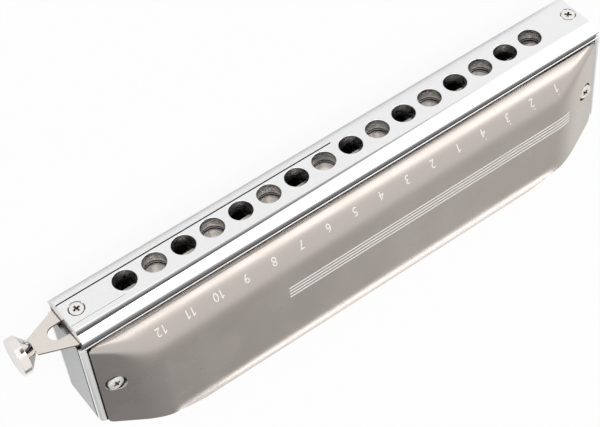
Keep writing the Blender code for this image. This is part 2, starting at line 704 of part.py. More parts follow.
CHROME = finish("chrome", (0.88, 0.88, 0.90), 0.06, 1.0)
SATIN = finish("satin_cover", (0.40, 0.38, 0.36), 0.32, 1.0)
COMB_METAL = finish("comb_metal", (0.62, 0.62, 0.62), 0.25, 1.0)
PLATE_METAL = finish("plate_metal", (0.85, 0.85, 0.84), 0.18, 1.0)
REED_METAL = finish("reed_metal", (0.78, 0.66, 0.38), 0.30, 1.0)
VALVE_FILM = finish("valve_film", (0.85, 0.83, 0.78), 0.55, 0.0)
NICKEL = finish("nickel", (0.80, 0.75, 0.70), 0.20, 1.0)
STEEL = finish("screw_steel", (0.80, 0.76, 0.68), 0.25, 1.0)
SPRING_STEEL = finish("spring_steel", (0.62, 0.60, 0.58), 0.30, 1.0)
RUBBER = finish("stop_rubber", (0.05, 0.05, 0.05), 0.80, 0.0)

make_comb(COMB_METAL)
for half, up in (("upper", 1), ("lower", -1)):
    make_reed_plate(half + "_reed_plate", up, PLATE_METAL)
    make_blow_reeds(half + "_blow_reeds", up, REED_METAL)
    make_draw_reeds(half + "_draw_reeds", up, REED_METAL)
    make_valves(half + "_valves", up, VALVE_FILM)
    make_plate_screws(half + "_plate_screw", up, STEEL)
for cover, up in (("top_cover", 1), ("bottom_cover", -1)):
    make_cover(cover, up, SATIN)
    make_cover_screws(cover + "_screw", up, STEEL)
make_mouthpiece(CHROME)
make_mouthpiece_screws(STEEL)
make_front_slip(PLATE_METAL)
make_back_slip(PLATE_METAL)
make_slide(NICKEL)
make_button(NICKEL)
make_button_rivet(STEEL)
make_sleeve("slide_stop_sleeve", MOUTH_SCREW_X, RUBBER)
make_sleeve("spring_post_sleeve", -MOUTH_SCREW_X, RUBBER)
make_spring(SPRING_STEEL)
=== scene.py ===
# %% [markdown]
# A chromatic harmonica lies on its lower cover. The frame brings in every solid of the instrument at its
# real size, and this lesson gives it its looks: a floor, a room and lamps, a finish for every surface, and
# finer models of the pieces that show, each in the place of its solid.

# %% Load the frame
import math

import bpy
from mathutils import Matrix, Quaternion, Vector


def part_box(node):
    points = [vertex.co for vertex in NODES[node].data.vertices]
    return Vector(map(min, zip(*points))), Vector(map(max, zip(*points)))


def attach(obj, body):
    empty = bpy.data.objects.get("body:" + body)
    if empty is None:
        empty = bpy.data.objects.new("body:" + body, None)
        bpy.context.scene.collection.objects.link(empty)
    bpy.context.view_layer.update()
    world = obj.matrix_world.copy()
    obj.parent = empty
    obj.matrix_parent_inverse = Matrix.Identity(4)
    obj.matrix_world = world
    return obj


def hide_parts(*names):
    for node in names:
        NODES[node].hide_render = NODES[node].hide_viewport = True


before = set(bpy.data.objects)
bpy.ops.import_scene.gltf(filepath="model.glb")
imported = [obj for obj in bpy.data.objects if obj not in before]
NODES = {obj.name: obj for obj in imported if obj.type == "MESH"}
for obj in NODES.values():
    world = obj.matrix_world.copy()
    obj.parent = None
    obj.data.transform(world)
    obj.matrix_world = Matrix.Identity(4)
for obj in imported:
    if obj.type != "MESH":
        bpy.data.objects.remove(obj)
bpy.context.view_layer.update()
bpy.ops.object.select_all(action="DESELECT")
print("frame nodes:", len(NODES))

# %% [markdown]
# The photograph's camera was worked out from the row of holes. Its place and its aim are real sizes, measured
# from the middle of the hole row on the mouthpiece's face. The camera was held turned round, so it has a
# large roll.

# %% Camera
MM = 0.001
MOUTH_LOW, MOUTH_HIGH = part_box("mouthpiece")
ROW_MIDDLE = Vector((0, MOUTH_LOW.y, (MOUTH_LOW.z + MOUTH_HIGH.z) / 2))
CAMERA_PLACE = ROW_MIDDLE + Vector((168.7, -339.2, 257.8)) * MM
CAMERA_AIM = ROW_MIDDLE + Vector((14.2, 15.4, 0)) * MM
CAMERA_ROLL = math.radians(135.13)
LENS = 99.64
NEAREST = 10 * MM


def aimed(place, aim, roll=0.0):
    """The turn of something that stands at a place, looks at a point and is rolled about that line."""
    level = (aim - place).to_track_quat("-Z", "Y")
    return level @ Quaternion((0, 0, 1), roll)


camera = bpy.data.objects.new("camera", bpy.data.cameras.new("camera"))
bpy.context.scene.collection.objects.link(camera)
camera.location = CAMERA_PLACE
camera.rotation_euler = aimed(CAMERA_PLACE, CAMERA_AIM, CAMERA_ROLL).to_euler()
camera.data.lens = LENS
camera.data.clip_start = NEAREST
bpy.context.scene.camera = camera
print("camera distance in mm:", round((CAMERA_AIM - CAMERA_PLACE).length / MM))

# %% [markdown]
# The floor is white paper. It glows to the camera and a little to reflections, so that it reads as white
# without more light on the harmonica, and it still keeps a faint shadow.

# %% Floor
FLOOR_SIZE = 6.0
FLOOR_GAP = 0.1 * MM
PAPER = 0.93
PAPER_DULLNESS = 0.9
FLOOR_GLOW = 0.93
MIRRORED_GLOW = 0.3


def grey(level):
    """A grey as a colour."""
    return (level, level, level, 1)


def floor_material():
    """White paper that the camera and reflections see mostly by its own glow."""
    material = bpy.data.materials.new("floor_paper")
    material.use_nodes = True
    nodes, links = material.node_tree.nodes, material.node_tree.links
    paper = nodes["Principled BSDF"]
    paper.inputs["Base Color"].default_value = grey(PAPER)
    paper.inputs["Roughness"].default_value = PAPER_DULLNESS
    paper.inputs["Specular IOR Level"].default_value = 0
    glow = nodes.new("ShaderNodeEmission")
    rays = nodes.new("ShaderNodeLightPath")
    seen = nodes.new("ShaderNodeMath")
    seen.operation = "MULTIPLY_ADD"
    seen.inputs[1].default_value = MIRRORED_GLOW
    share = nodes.new("ShaderNodeMath")
    share.operation = "MULTIPLY"
    share.inputs[1].default_value = FLOOR_GLOW
    both = nodes.new("ShaderNodeMixShader")
    links.new(rays.outputs["Is Glossy Ray"], seen.inputs[0])
    links.new(rays.outputs["Is Camera Ray"], seen.inputs[2])
    links.new(seen.outputs[0], share.inputs[0])
    links.new(share.outputs[0], both.inputs["Fac"])
    links.new(paper.outputs[0], both.inputs[1])
    links.new(glow.outputs[0], both.inputs[2])
    links.new(both.outputs[0], nodes["Material Output"].inputs["Surface"])
    return material


bpy.ops.mesh.primitive_plane_add(size=FLOOR_SIZE, location=(0, 0, -FLOOR_GAP))
floor = bpy.context.object
floor.name = "floor"
floor.data.materials.append(floor_material())
print("floor:", FLOOR_SIZE, "m square")

# %% [markdown]
# Polished metal shows only what stands around it, so the studio matters as much as the finish. The room is
# pale, with a brighter front and a soft grey band on its rear wall, which the flat top of the cover shows.
# The camera sees plain white instead. A direction's X, Y and Z say where each part of the room is.

# %% Room
ROOM = 0.88
FRONT = 1.05
WHITE = 1.0
BAND_STOPS = ((0.16, ROOM), (0.34, 0.30), (0.48, 0.16), (0.60, 0.24), (0.74, ROOM))
BAND_DEPTH = (0.1, 0.5)
BAND_WIDTH = (-1.1, 0.1)
FRONT_DEPTH = (-0.75, -0.35)


def set_ramp(ramp, stops):
    """Gives a colour ramp its greys, each at its height."""
    while len(ramp.elements) < len(stops):
        ramp.elements.new(0.5)
    for element, (height, level) in zip(ramp.elements, stops):
        element.position = height
        element.color = grey(level)


def eased(tree, value, limits):
    """A share that eases from 0 where the value is at its first limit to 1 at its second."""
    ease = tree.nodes.new("ShaderNodeMapRange")
    ease.interpolation_type = "SMOOTHSTEP"
    ease.inputs["From Min"].default_value = limits[0]
    ease.inputs["From Max"].default_value = limits[1]
    tree.links.new(value, ease.inputs["Value"])
    return ease.outputs["Result"]


def mixed(tree, share, start, end):
    """A colour that goes from start to end with a share; each is a grey level or a node's colour."""
    mix = tree.nodes.new("ShaderNodeMix")
    mix.data_type = "RGBA"
    tree.links.new(share, mix.inputs["Factor"])
    for socket, colour in (("A", start), ("B", end)):
        if isinstance(colour, float):
            mix.inputs[socket].default_value = grey(colour)
        else:
            tree.links.new(colour, mix.inputs[socket])
    return mix.outputs["Result"]


def make_room():
    """The world round the harmonica, as the camera and reflections see it."""
    world = bpy.data.worlds.new("studio_room")
    bpy.context.scene.world = world
    world.use_nodes = True
    tree = world.node_tree
    way = tree.nodes.new("ShaderNodeTexCoord")
    parts = tree.nodes.new("ShaderNodeSeparateXYZ")
    tree.links.new(way.outputs["Generated"], parts.inputs[0])
    band = tree.nodes.new("ShaderNodeValToRGB")
    tree.links.new(parts.outputs["Z"], band.inputs["Fac"])
    set_ramp(band.color_ramp, BAND_STOPS)
    behind = tree.nodes.new("ShaderNodeMath")
    behind.operation = "MULTIPLY"
    tree.links.new(eased(tree, parts.outputs["Y"], BAND_DEPTH), behind.inputs[0])
    tree.links.new(eased(tree, parts.outputs["X"], BAND_WIDTH), behind.inputs[1])
    pale = mixed(tree, eased(tree, parts.outputs["Y"], FRONT_DEPTH), FRONT, ROOM)
    room = mixed(tree, behind.outputs[0], pale, band.outputs["Color"])
    rays = tree.nodes.new("ShaderNodeLightPath")
    shown = mixed(tree, rays.outputs["Is Camera Ray"], room, WHITE)
    tree.links.new(shown, tree.nodes["Background"].inputs["Color"])
    return world


print("room:", len(make_room().node_tree.nodes), "nodes")

# %% [markdown]
# A long lamp in front gives the cover's front edge its bright line, and a low strip behind does the same for
# the rolled back edge. A card in front draws the dark streak on the mouthpiece's shoulder. It is wide and
# pale at its foot, narrow and dark at its top, and one of its sides slants.

# %% Lamps and card
LAMPS = {
    "front_softbox": {"spot": (-0.36, -0.86, 0.79), "size": (2.4, 0.28), "watts": 2.7},
    "rear_strip": {"spot": (-0.60, 1.5, 0.44), "size": (0.60, 0.20), "watts": 1.1},
}
CARD_Y = -0.5
CARD_CORNERS = ((-0.33, 0.05), (0.02, 0.09), (-0.03, 0.40), (0.02, 0.40))
CARD_STOPS = ((0.06, 0.90), (0.16, 0.40), (0.24, 0.14), (0.40, 0.06))


def add_lamp(name, spot, size, watts):
    """A soft lamp, given its width and height, that looks at the harmonica."""
    data = bpy.data.lights.new(name, "AREA")
    data.shape = "RECTANGLE"
    data.size, data.size_y = size
    data.energy = watts
    lamp = bpy.data.objects.new(name, data)
    bpy.context.scene.collection.objects.link(lamp)
    lamp.location = spot
    lamp.rotation_euler = aimed(Vector(spot), ROW_MIDDLE).to_euler()
    return lamp


def shaded_card():
    """A card that stands in front, and whose grey changes with height."""
    bpy.ops.mesh.primitive_plane_add(size=1)
    card = bpy.context.object
    card.name = "shaded_card"
    for point, (x, z) in zip(card.data.vertices, CARD_CORNERS):
        point.co = (x, CARD_Y, z)
    paper = bpy.data.materials.new("shaded_card")
    paper.use_nodes = True
    nodes, links = paper.node_tree.nodes, paper.node_tree.links
    spot = nodes.new("ShaderNodeTexCoord")
    level = nodes.new("ShaderNodeSeparateXYZ")
    shade = nodes.new("ShaderNodeValToRGB")
    set_ramp(shade.color_ramp, CARD_STOPS)
    links.new(spot.outputs["Object"], level.inputs[0])
    links.new(level.outputs["Z"], shade.inputs["Fac"])
    links.new(shade.outputs["Color"], nodes["Principled BSDF"].inputs["Base Color"])
    card.data.materials.append(paper)


for name, values in LAMPS.items():
    add_lamp(name, **values)
shaded_card()
bpy.context.scene.view_settings.view_transform = "Standard"
print("lamps:", sorted(LAMPS))

# %% [markdown]
# Every finish has small faults: plating that isn't equally dull everywhere, and fine grain left by blasting
# or rolling. Each effect is a node group that is built once, and every material sets its own amounts.

# %% Shared surface groups
NOISE_LOW = 0.35
NOISE_HIGH = 0.65


def new_group(name, inputs, outputs):
    """An empty shader group with float sockets, and its two end nodes."""
    group = bpy.data.node_groups.new(name, "ShaderNodeTree")
    for socket, value in inputs:
        made = group.interface.new_socket(socket, in_out="INPUT", socket_type="NodeSocketFloat")
        made.default_value = value
    for socket in outputs:
        group.interface.new_socket(socket, in_out="OUTPUT", socket_type="NodeSocketFloat")
    return group, group.nodes.new("NodeGroupInput"), group.nodes.new("NodeGroupOutput")


def make_mottle():
    """Uneven dullness: soft clouds between two levels, from noise that lies mostly in a narrower range."""
    inputs = (("Scale", 60), ("Low", 0.3), ("High", 0.4))
    group, start, end = new_group("uneven_dullness", inputs, ("Value",))
    spot = group.nodes.new("ShaderNodeTexCoord")
    clouds = group.nodes.new("ShaderNodeTexNoise")
    clouds.inputs["Detail"].default_value = 4
    spread = group.nodes.new("ShaderNodeMapRange")
    spread.inputs["From Min"].default_value = NOISE_LOW
    spread.inputs["From Max"].default_value = NOISE_HIGH
    group.links.new(spot.outputs["Object"], clouds.inputs["Vector"])
    group.links.new(start.outputs["Scale"], clouds.inputs["Scale"])
    group.links.new(clouds.outputs["Fac"], spread.inputs["Value"])
    group.links.new(start.outputs["Low"], spread.inputs["To Min"])
    group.links.new(start.outputs["High"], spread.inputs["To Max"])
    group.links.new(spread.outputs["Result"], end.inputs["Value"])
    return group


def make_grain():
    """Fine grain, drawn out along the instrument where Stretch is small."""
    group, start, end = new_group("fine_grain", (("Scale", 4000), ("Stretch", 1)), ("Height",))
    spot = group.nodes.new("ShaderNodeTexCoord")
    draw = group.nodes.new("ShaderNodeCombineXYZ")
    draw.inputs["Y"].default_value = 1
    draw.inputs["Z"].default_value = 1
    pull = group.nodes.new("ShaderNodeVectorMath")
    pull.operation = "MULTIPLY"
    grain = group.nodes.new("ShaderNodeTexNoise")
    grain.inputs["Detail"].default_value = 2
    group.links.new(start.outputs["Stretch"], draw.inputs["X"])
    group.links.new(spot.outputs["Object"], pull.inputs[0])
    group.links.new(draw.outputs["Vector"], pull.inputs[1])
    group.links.new(pull.outputs["Vector"], grain.inputs["Vector"])
    group.links.new(start.outputs["Scale"], grain.inputs["Scale"])
    group.links.new(grain.outputs["Fac"], end.inputs["Height"])
    return group


MOTTLE = make_mottle()
GRAIN = make_grain()
print("groups:", [g.name for g in bpy.data.node_groups])

# %% [markdown]
# One builder makes every finish from a colour, two levels of dullness and a grain. What differs is how far
# apart the levels are and whether the grain is round, as on blasted metal, or drawn out, as on rolled sheet.
# A line below gives the colour, the two levels, how metallic it is, and then, where they aren't the usual
# ones, the grain's scale, stretch and strength, the scale of the clouds and the grain's depth.

# %% Finishes
LOOKS = {
    "chrome": ((0.97, 0.97, 0.975), 0.04, 0.08, 1),
    "satin_cover": ((0.60, 0.545, 0.505), 0.25, 0.29, 1, (6000, 1, 0.25)),
    "comb_metal": ((0.46, 0.465, 0.475), 0.22, 0.32, 1, (3000, 0.05, 0.1)),
    "plate_metal": ((0.88, 0.88, 0.87), 0.14, 0.22, 1, (3000, 0.05, 0.05)),
    "reed_metal": ((0.80, 0.66, 0.38), 0.24, 0.36, 1, (4000, 0.2, 0.1)),
    "valve_film": ((0.85, 0.83, 0.78), 0.45, 0.60, 0),
    "nickel": ((0.86, 0.80, 0.74), 0.14, 0.22, 1, (4000, 1, 0.05)),
    "bright_nickel": ((0.95, 0.90, 0.86), 0.05, 0.09, 1),
    # painted highlight: a paler, duller metal for the plates' ends, so they read as bright lines
    "rim_painted_highlight": ((0.97, 0.97, 0.96), 0.42, 0.50, 1),
    "cut_edge": ((0.26, 0.21, 0.18), 0.40, 0.50, 1),
    "screw_steel": ((0.95, 0.93, 0.90), 0.40, 0.52, 1),
    "spring_steel": ((0.62, 0.60, 0.58), 0.25, 0.35, 1),
    "stop_rubber": ((0.22, 0.22, 0.22), 0.70, 0.85, 0),
    # dull metal for the bores, painted darker as painted shade
    "dull_shaded_bore": ((0.46, 0.455, 0.45), 0.20, 0.50, 1, (1400, 1, 1.0), 900, 0.12 * MM),
    # dirt and painted shade for the screws' cross recesses
    "recess_dirt_and_shade": ((0.10, 0.065, 0.04), 0.45, 0.60, 0.3),
    "box_steel": ((0.26, 0.26, 0.27), 0.30, 0.45, 1, (3000, 0.05, 0.1)),
    # painted shade: a near black laid in seams, grooves and screw seats, where shade falls
    "painted_shade": ((0.02, 0.02, 0.022), 0.50, 0.65, 0.3),
}


def finish(name, colour, low, high, metallic, grain=(4000, 1, 0.02), cloud=60, depth=0.02 * MM):
    """A Principled material whose roughness wanders and whose surface carries fine grain."""
    material = bpy.data.materials.new(name)
    material.use_nodes = True
    nodes, links = material.node_tree.nodes, material.node_tree.links
    shader = nodes["Principled BSDF"]
    shader.inputs["Base Color"].default_value = (*colour, 1)
    shader.inputs["Metallic"].default_value = metallic
    mottle = nodes.new("ShaderNodeGroup")
    mottle.node_tree = MOTTLE
    for socket, value in (("Scale", cloud), ("Low", low), ("High", high)):
        mottle.inputs[socket].default_value = value
    links.new(mottle.outputs["Value"], shader.inputs["Roughness"])
    scale, stretch, strength = grain
    fine = nodes.new("ShaderNodeGroup")
    fine.node_tree = GRAIN
    fine.inputs["Scale"].default_value = scale
    fine.inputs["Stretch"].default_value = stretch
    bump = nodes.new("ShaderNodeBump")
    bump.inputs["Strength"].default_value = strength
    bump.inputs["Distance"].default_value = depth
    links.new(fine.outputs["Height"], bump.inputs["Height"])
    links.new(bump.outputs["Normal"], shader.inputs["Normal"])
    return material


FINISHES = {name: finish(name, *values) for name, values in LOOKS.items()}
print("finishes:", sorted(FINISHES))

# %% [markdown]
# The pieces that show are modelled again in finer detail. A few steps come back for all of them. The first
# are for choosing faces, edges or points by their place, and for making plain shapes: a box, a slice through
# a shape, and a turned shape, which is a disc drawn out ring by ring. Cutters reach a little past what they
# cut, and a face counts as facing a way where its normal is nearly along it.

# %% Choose and shape
TINY = 0.01 * MM
PAST = 1 * MM
FACING = 0.9
UP = (0, 0, 1)
INTO = (0, 1, 0)


def only(obj):
    """Leaves edit mode and makes one object the only selected and the active one."""
    if bpy.context.mode != "OBJECT":
        bpy.ops.object.mode_set(mode="OBJECT")
    bpy.ops.object.select_all(action="DESELECT")
    obj.select_set(True)
    bpy.context.view_layer.objects.active = obj
    return obj


def pick(obj, kind, wanted):
    """Enters edit mode with only those faces, edges or points selected whose place passes the test."""
    only(obj)
    bpy.ops.object.mode_set(mode="EDIT")
    bpy.ops.mesh.select_mode(type=kind)
    bpy.ops.mesh.select_all(action="DESELECT")
    bpy.ops.object.mode_set(mode="OBJECT")
    mesh = obj.data
    if kind == "FACE":
        for face in mesh.polygons:
            face.select = wanted(face.center, face.normal)
    elif kind == "EDGE":
        for edge in mesh.edges:
            a, b = (mesh.vertices[i].co for i in edge.vertices)
            edge.select = wanted((a + b) / 2, (b - a).normalized())
    else:
        for point in mesh.vertices:
            point.select = wanted(point.co, point.normal)
    bpy.ops.object.mode_set(mode="EDIT")


def pick_all(obj):
    """Enters edit mode with the whole mesh selected."""
    pick(obj, "FACE", lambda spot, normal: True)


def apply_place():
    """Puts the place, turn and size of what is selected into its mesh."""
    bpy.ops.object.transform_apply(location=True, rotation=True, scale=True)


def block(low, high):
    """A box from corner to corner, with its place already in its mesh."""
    low, high = Vector(low), Vector(high)
    bpy.ops.mesh.primitive_cube_add(size=1, location=(low + high) / 2, scale=high - low)
    apply_place()
    return bpy.context.object


def slice_off(obj, spot, away):
    """Cuts off what lies beyond a plane through a spot, on the side that it faces, and closes the cut."""
    pick_all(obj)
    bpy.ops.mesh.bisect(plane_co=spot, plane_no=away, use_fill=True, clear_outer=True, threshold=TINY)
    bpy.ops.object.mode_set(mode="OBJECT")


def turned(profile, start, axis, sides=64):
    """A turned shape, given each ring's distance along the axis and its radius."""
    axis = Vector(axis)
    bpy.ops.mesh.primitive_circle_add(vertices=sides, radius=profile[0][1], fill_type="NGON",
                                      rotation=axis.to_track_quat("Z", "Y").to_euler(),
                                      location=Vector(start) + axis * profile[0][0])
    obj = bpy.context.object
    apply_place()
    bpy.ops.object.mode_set(mode="EDIT")
    bpy.ops.mesh.select_all(action="SELECT")
    for (before, radius), (after, wider) in zip(profile, profile[1:]):
        bpy.ops.mesh.extrude_region_move(TRANSFORM_OT_translate={"value": axis * (after - before)})
        bpy.ops.transform.resize(value=[wider / radius] * 3)
    bpy.ops.mesh.select_all(action="SELECT")
    bpy.ops.mesh.normals_make_consistent(inside=False)
    bpy.ops.object.mode_set(mode="OBJECT")
    return obj


def rod(radius, ends, spot, axis=UP, sides=64):
    """A straight rod between two distances from a spot, measured along an axis."""
    return turned([(end, radius) for end in ends], spot, axis, sides)


def quarter(steps):
    """Points of a quarter circle as pairs that go from (0, 1) to (1, 0)."""
    turns = [math.pi / 2 * k / steps for k in range(steps + 1)]
    return [(math.sin(turn), math.cos(turn)) for turn in turns]


print("a quarter circle in two steps:", [(round(a, 3), round(b, 3)) for a, b in quarter(2)])

# %% [markdown]
# The other steps cut one shape out of another, give some faces a second finish, and finish a piece, so that
# its place is in its mesh and it rides on its body in place of a solid of the frame.


def apply_all(obj):
    """Applies every modifier in its order."""
    only(obj)
    for name in [m.name for m in obj.modifiers]:
        bpy.ops.object.modifier_apply(modifier=name)


def face_outwards(obj):
    """Turns every face of a closed shape outwards."""
    pick_all(obj)
    bpy.ops.mesh.normals_make_consistent(inside=False)
    bpy.ops.object.mode_set(mode="OBJECT")


def carve(obj, *cutters, operation="DIFFERENCE"):
    """Cuts shapes out of an object, or unites them with it, one after the other, and throws them away."""
    face_outwards(obj)
    for cutter in cutters:
        cut = obj.modifiers.new("carve", "BOOLEAN")
        cut.operation = operation
        cut.object = cutter
        apply_all(obj)
        bpy.data.objects.remove(cutter)


def paint(obj, finish_name, wanted):
    """Gives the faces whose place passes the test a second finish."""
    obj.data.materials.append(FINISHES[finish_name])
    for face in obj.data.polygons:
        if wanted(face.center, face.normal):
            face.material_index = len(obj.data.materials) - 1


def joined(objects):
    """Several shapes as one object."""
    bpy.ops.object.select_all(action="DESELECT")
    for obj in objects:
        obj.select_set(True)
    bpy.context.view_layer.objects.active = objects[0]
    bpy.ops.object.join()
    return objects[0]


def settle(obj, name, slot, body, *replaced, angle=35, material=None):
    """Smooths a finished piece, gives it its finish and lets it ride on its body for a solid."""
    only(obj)
    apply_place()
    bpy.ops.object.shade_smooth_by_angle(angle=math.radians(angle))
    obj.name = obj.data.name = name
    obj.data.materials.clear()
    obj.data.materials.append(material or FINISHES[slot])
    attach(obj, body)
    if replaced:
        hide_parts(*replaced)
    print(name, "triangles:", sum(len(p.vertices) - 2 for p in obj.data.polygons))
    return obj


# %% [markdown]
# A cover is pressed from thin sheet. One formula gives the pressed height of every point: the sheet rises in
# a curve behind its front edge, slopes up from both ends, and rolls down again at its back edge. Seen from
# above, the back edge is straight in the middle and slants forward towards both ends.

# %% The press
COVER_LOW, COVER_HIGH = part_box("top_cover")
SHEET = 0.7 * MM
RISE = COVER_HIGH.z - COVER_LOW.z - SHEET
FRONT_RAMP = 17.5 * MM
FRONT_POWER = 5
END_RAMP = 13.7 * MM
HIP_SOFT = 5.0 * MM
EDGE_DROP = 0.5 * MM
LIP_RUN = 8.0 * MM
LIP_DROP = 1.4 * MM
CURL_RUN = 1.0 * MM
CURL_DROP = 0.75 * MM
ROLL_FADE = 8.0 * MM
CHAMFER_SLOPE = 6.4 / 18.8
CHAMFER_START = COVER_HIGH.y - 10.1 * MM
CORNER_SOFT = 2.8 * MM


def clamp(value):
    """Holds a share between 0 and 1."""
    return min(max(value, 0), 1)


def soft_min(a, b, soft):
    """The lower of two values, rounded off where they differ by less than soft."""
    close = max(soft - abs(a - b), 0) / soft
    return min(a, b) - close * close * soft / 4


def back_edge(x):
    """The cover's back edge at one place along its length: straight, then slanted, softly joined."""
    slanted = CHAMFER_START + (COVER_HIGH.x - abs(x)) * CHAMFER_SLOPE
    return soft_min(COVER_HIGH.y, slanted, CORNER_SOFT)


def pressed(x, y):
    """The pressed height of the outer surface over the flat flange."""
    inward = COVER_HIGH.x - abs(x)
    front = 1 - (1 - clamp((y - COVER_LOW.y) / FRONT_RAMP)) ** FRONT_POWER
    rise = max(soft_min(front, inward / END_RAMP, HIP_SOFT / END_RAMP), 0)
    roll = clamp((y - COVER_HIGH.y + LIP_RUN) / LIP_RUN)
    curl = clamp((y - COVER_HIGH.y + CURL_RUN) / CURL_RUN)
    fade = clamp((inward - END_RAMP) / ROLL_FADE)
    lip = (LIP_DROP * roll * roll + CURL_DROP * curl * curl) * fade * fade * (3 - 2 * fade)
    return (RISE + EDGE_DROP) * rise - EDGE_DROP - lip


def outer_height(x, y):
    """The height of the top cover's outer surface."""
    return COVER_LOW.z + SHEET + pressed(x, y)


print("the press lifts the middle of the cover by", round(pressed(0, 0) / MM, 2), "mm")

# %% [markdown]
# A grid stands for the flat blank. Its rows and columns are close together where the metal bends, its corners
# are rounded, and every point then gets its pressed height.

# %% The blank
SCREW_SPOT = sum(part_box("top_cover_screw_right"), Vector()) / 2
HIP = COVER_HIGH.x - END_RAMP
COLUMN_MARKS = ((0, 0), (HIP - ROLL_FADE - 20 * MM, 6 * MM), (HIP - ROLL_FADE, 1 * MM),
                (COVER_HIGH.x, 0.45 * MM))
ROW_MARKS = ((COVER_LOW.y, 0), (COVER_LOW.y + 10 * MM, 0.4 * MM), (SCREW_SPOT.y, 0.7 * MM),
             (CHAMFER_START - LIP_RUN, 1 * MM))
ROLL_ROWS = 30
ROLL_CROWDING = 1.6
PLAN_CORNER = 1.2 * MM
FRONT_CORNER = 1.4 * MM


def spaced(marks):
    """Places along a line: each mark is (where a stretch ends, how long its steps are)."""
    places = [marks[0][0]]
    for end, step in marks[1:]:
        count = max(1, round((end - places[-1]) / step))
        start = places[-1]
        places += [start + (end - start) * (k + 1) / count for k in range(count)]
    return places


def rounded(u, v, radius):
    """Moves a point that lies u and v inside two edges, so that the corner between them becomes an arc."""
    if u >= radius or v >= radius:
        return u, v
    a, b = 1 - u / radius, 1 - v / radius
    return radius * (1 - a * math.sqrt(1 - b * b / 2)), radius * (1 - b * math.sqrt(1 - a * a / 2))


def pressed_grid():
    """The outer surface of the top cover, as a grid without thickness."""
    right = spaced(COLUMN_MARKS)
    columns = [-x for x in reversed(right[1:])] + right
    fixed = spaced(ROW_MARKS)
    rows = len(fixed) + ROLL_ROWS
    bpy.ops.mesh.primitive_grid_add(x_subdivisions=len(columns) - 1, y_subdivisions=rows - 1, size=1)
    cover = bpy.context.object
    for index, point in enumerate(cover.data.vertices):
        row, column = divmod(index, len(columns))
        x = columns[column]
        back = back_edge(x)
        way = 1 - (1 - max(row - len(fixed) + 1, 0) / ROLL_ROWS) ** ROLL_CROWDING
        y = fixed[row] if row < len(fixed) else fixed[-1] + (back - fixed[-1]) * way
        inward, behind = rounded(COVER_HIGH.x - abs(x), y - COVER_LOW.y, FRONT_CORNER)
        y = COVER_LOW.y + behind
        inward, ahead = rounded(inward, back - y, PLAN_CORNER)
        x = math.copysign(COVER_HIGH.x - inward, x)
        y = back_edge(x) - ahead if ahead < PLAN_CORNER else y
        point.co = (x, y, outer_height(x, y))
    return cover


print("columns on one side:", len(spaced(COLUMN_MARKS)), "rows:", len(spaced(ROW_MARKS)) + ROLL_ROWS)

# %% [markdown]
# The grid is drawn out downwards to the sheet's thickness, and its rim is pressed down onto the reed plate.
# Each screw sits in a round cup, which is joined to the sheet and bored, and a bevel softens its mouth. The
# cups lie in shade, so shade is painted near black on their floors and at the foot of their walls. The lower
# cover is a mirror image.

# %% Press the two covers
SEAT_R = 2.8 * MM
SEAT_SOFT = 0.2 * MM
SEAT_SHADE = 0.9 * MM
SEAT_SLACK = 0.03 * MM
SEAT_RIM = 0.1 * MM
STEEP = 0.7
CUP_WALL = 0.45 * MM
CUP_ENDS = (0.02 * MM, 4 * MM)
CUP_SUNK = 0.2 * MM
COVER_HOLE_R = 1.2 * MM
CUTTER_FOOT = -2 * MM
CUTTER_TOP = 6 * MM


def screw_cups():
    """Two solid cups that reach from the flange up to just under the sloping end."""
    slope = Vector((RISE / END_RAMP, 0, 1)).normalized()
    cups = []
    for sign in (1, -1):
        spot = Vector((sign * SCREW_SPOT.x, SCREW_SPOT.y, COVER_LOW.z))
        cup = rod(SEAT_R + CUP_WALL, CUP_ENDS, spot)
        top = (spot.x, spot.y, outer_height(spot.x, spot.y) - CUP_SUNK)
        slice_off(cup, top, (sign * slope.x, 0, slope.z))
        cups.append(cup)
    return joined(cups)


def seat_distance(spot):
    """How far a point lies from the axis of the nearer screw."""
    return math.hypot(abs(spot.x) - SCREW_SPOT.x, spot.y - SCREW_SPOT.y)


def on_seat_rim(spot, way):
    """True for an edge where a seat's wall meets the outer surface."""
    at_wall = abs(seat_distance(spot) - SEAT_R) < SEAT_SLACK
    return at_wall and spot.z > outer_height(spot.x, spot.y) - SEAT_RIM and abs(way.z) < STEEP


def in_seat_shade(spot, normal):
    """True for a face at a seat's floor or at the foot of its wall, in either cover, where shade is painted.
    """
    seat_floor = COVER_LOW.z + SHEET - ROW_MIDDLE.z
    low_enough = abs(spot.z - ROW_MIDDLE.z) < seat_floor + SEAT_SHADE
    return low_enough and seat_distance(spot) < SEAT_R + SEAT_SLACK


def press_cover(node, side):
    """One cover: side is 1 for the top one and -1 for the lower one."""
    cover = pressed_grid()
    pick_all(cover)
    bpy.ops.mesh.extrude_region_move(TRANSFORM_OT_translate={"value": (0, 0, -SHEET)})
    bpy.ops.object.mode_set(mode="OBJECT")
    for point in cover.data.vertices:
        point.co.z = max(point.co.z, COVER_LOW.z)
    carve(cover, screw_cups(), operation="UNION")
    spots = [(sign * SCREW_SPOT.x, SCREW_SPOT.y, COVER_LOW.z) for sign in (1, -1)]
    carve(cover, joined([rod(SEAT_R, (SHEET, CUTTER_TOP), spot) for spot in spots]))
    carve(cover, joined([rod(COVER_HOLE_R, (CUTTER_FOOT, CUTTER_TOP), spot) for spot in spots]))
    pick(cover, "EDGE", on_seat_rim)
    bpy.ops.mesh.bevel(offset=SEAT_SOFT, segments=3, affect="EDGES")
    bpy.ops.object.mode_set(mode="OBJECT")
    if side < 0:
        for point in cover.data.vertices:
            point.co.z = 2 * ROW_MIDDLE.z - point.co.z
    face_outwards(cover)
    settle(cover, node + "_pressing", "satin_cover", "root", node, angle=50)
    # painted shade: near black on the seats' floors and the foot of their walls
    paint(cover, "painted_shade", in_seat_shade)
    return cover


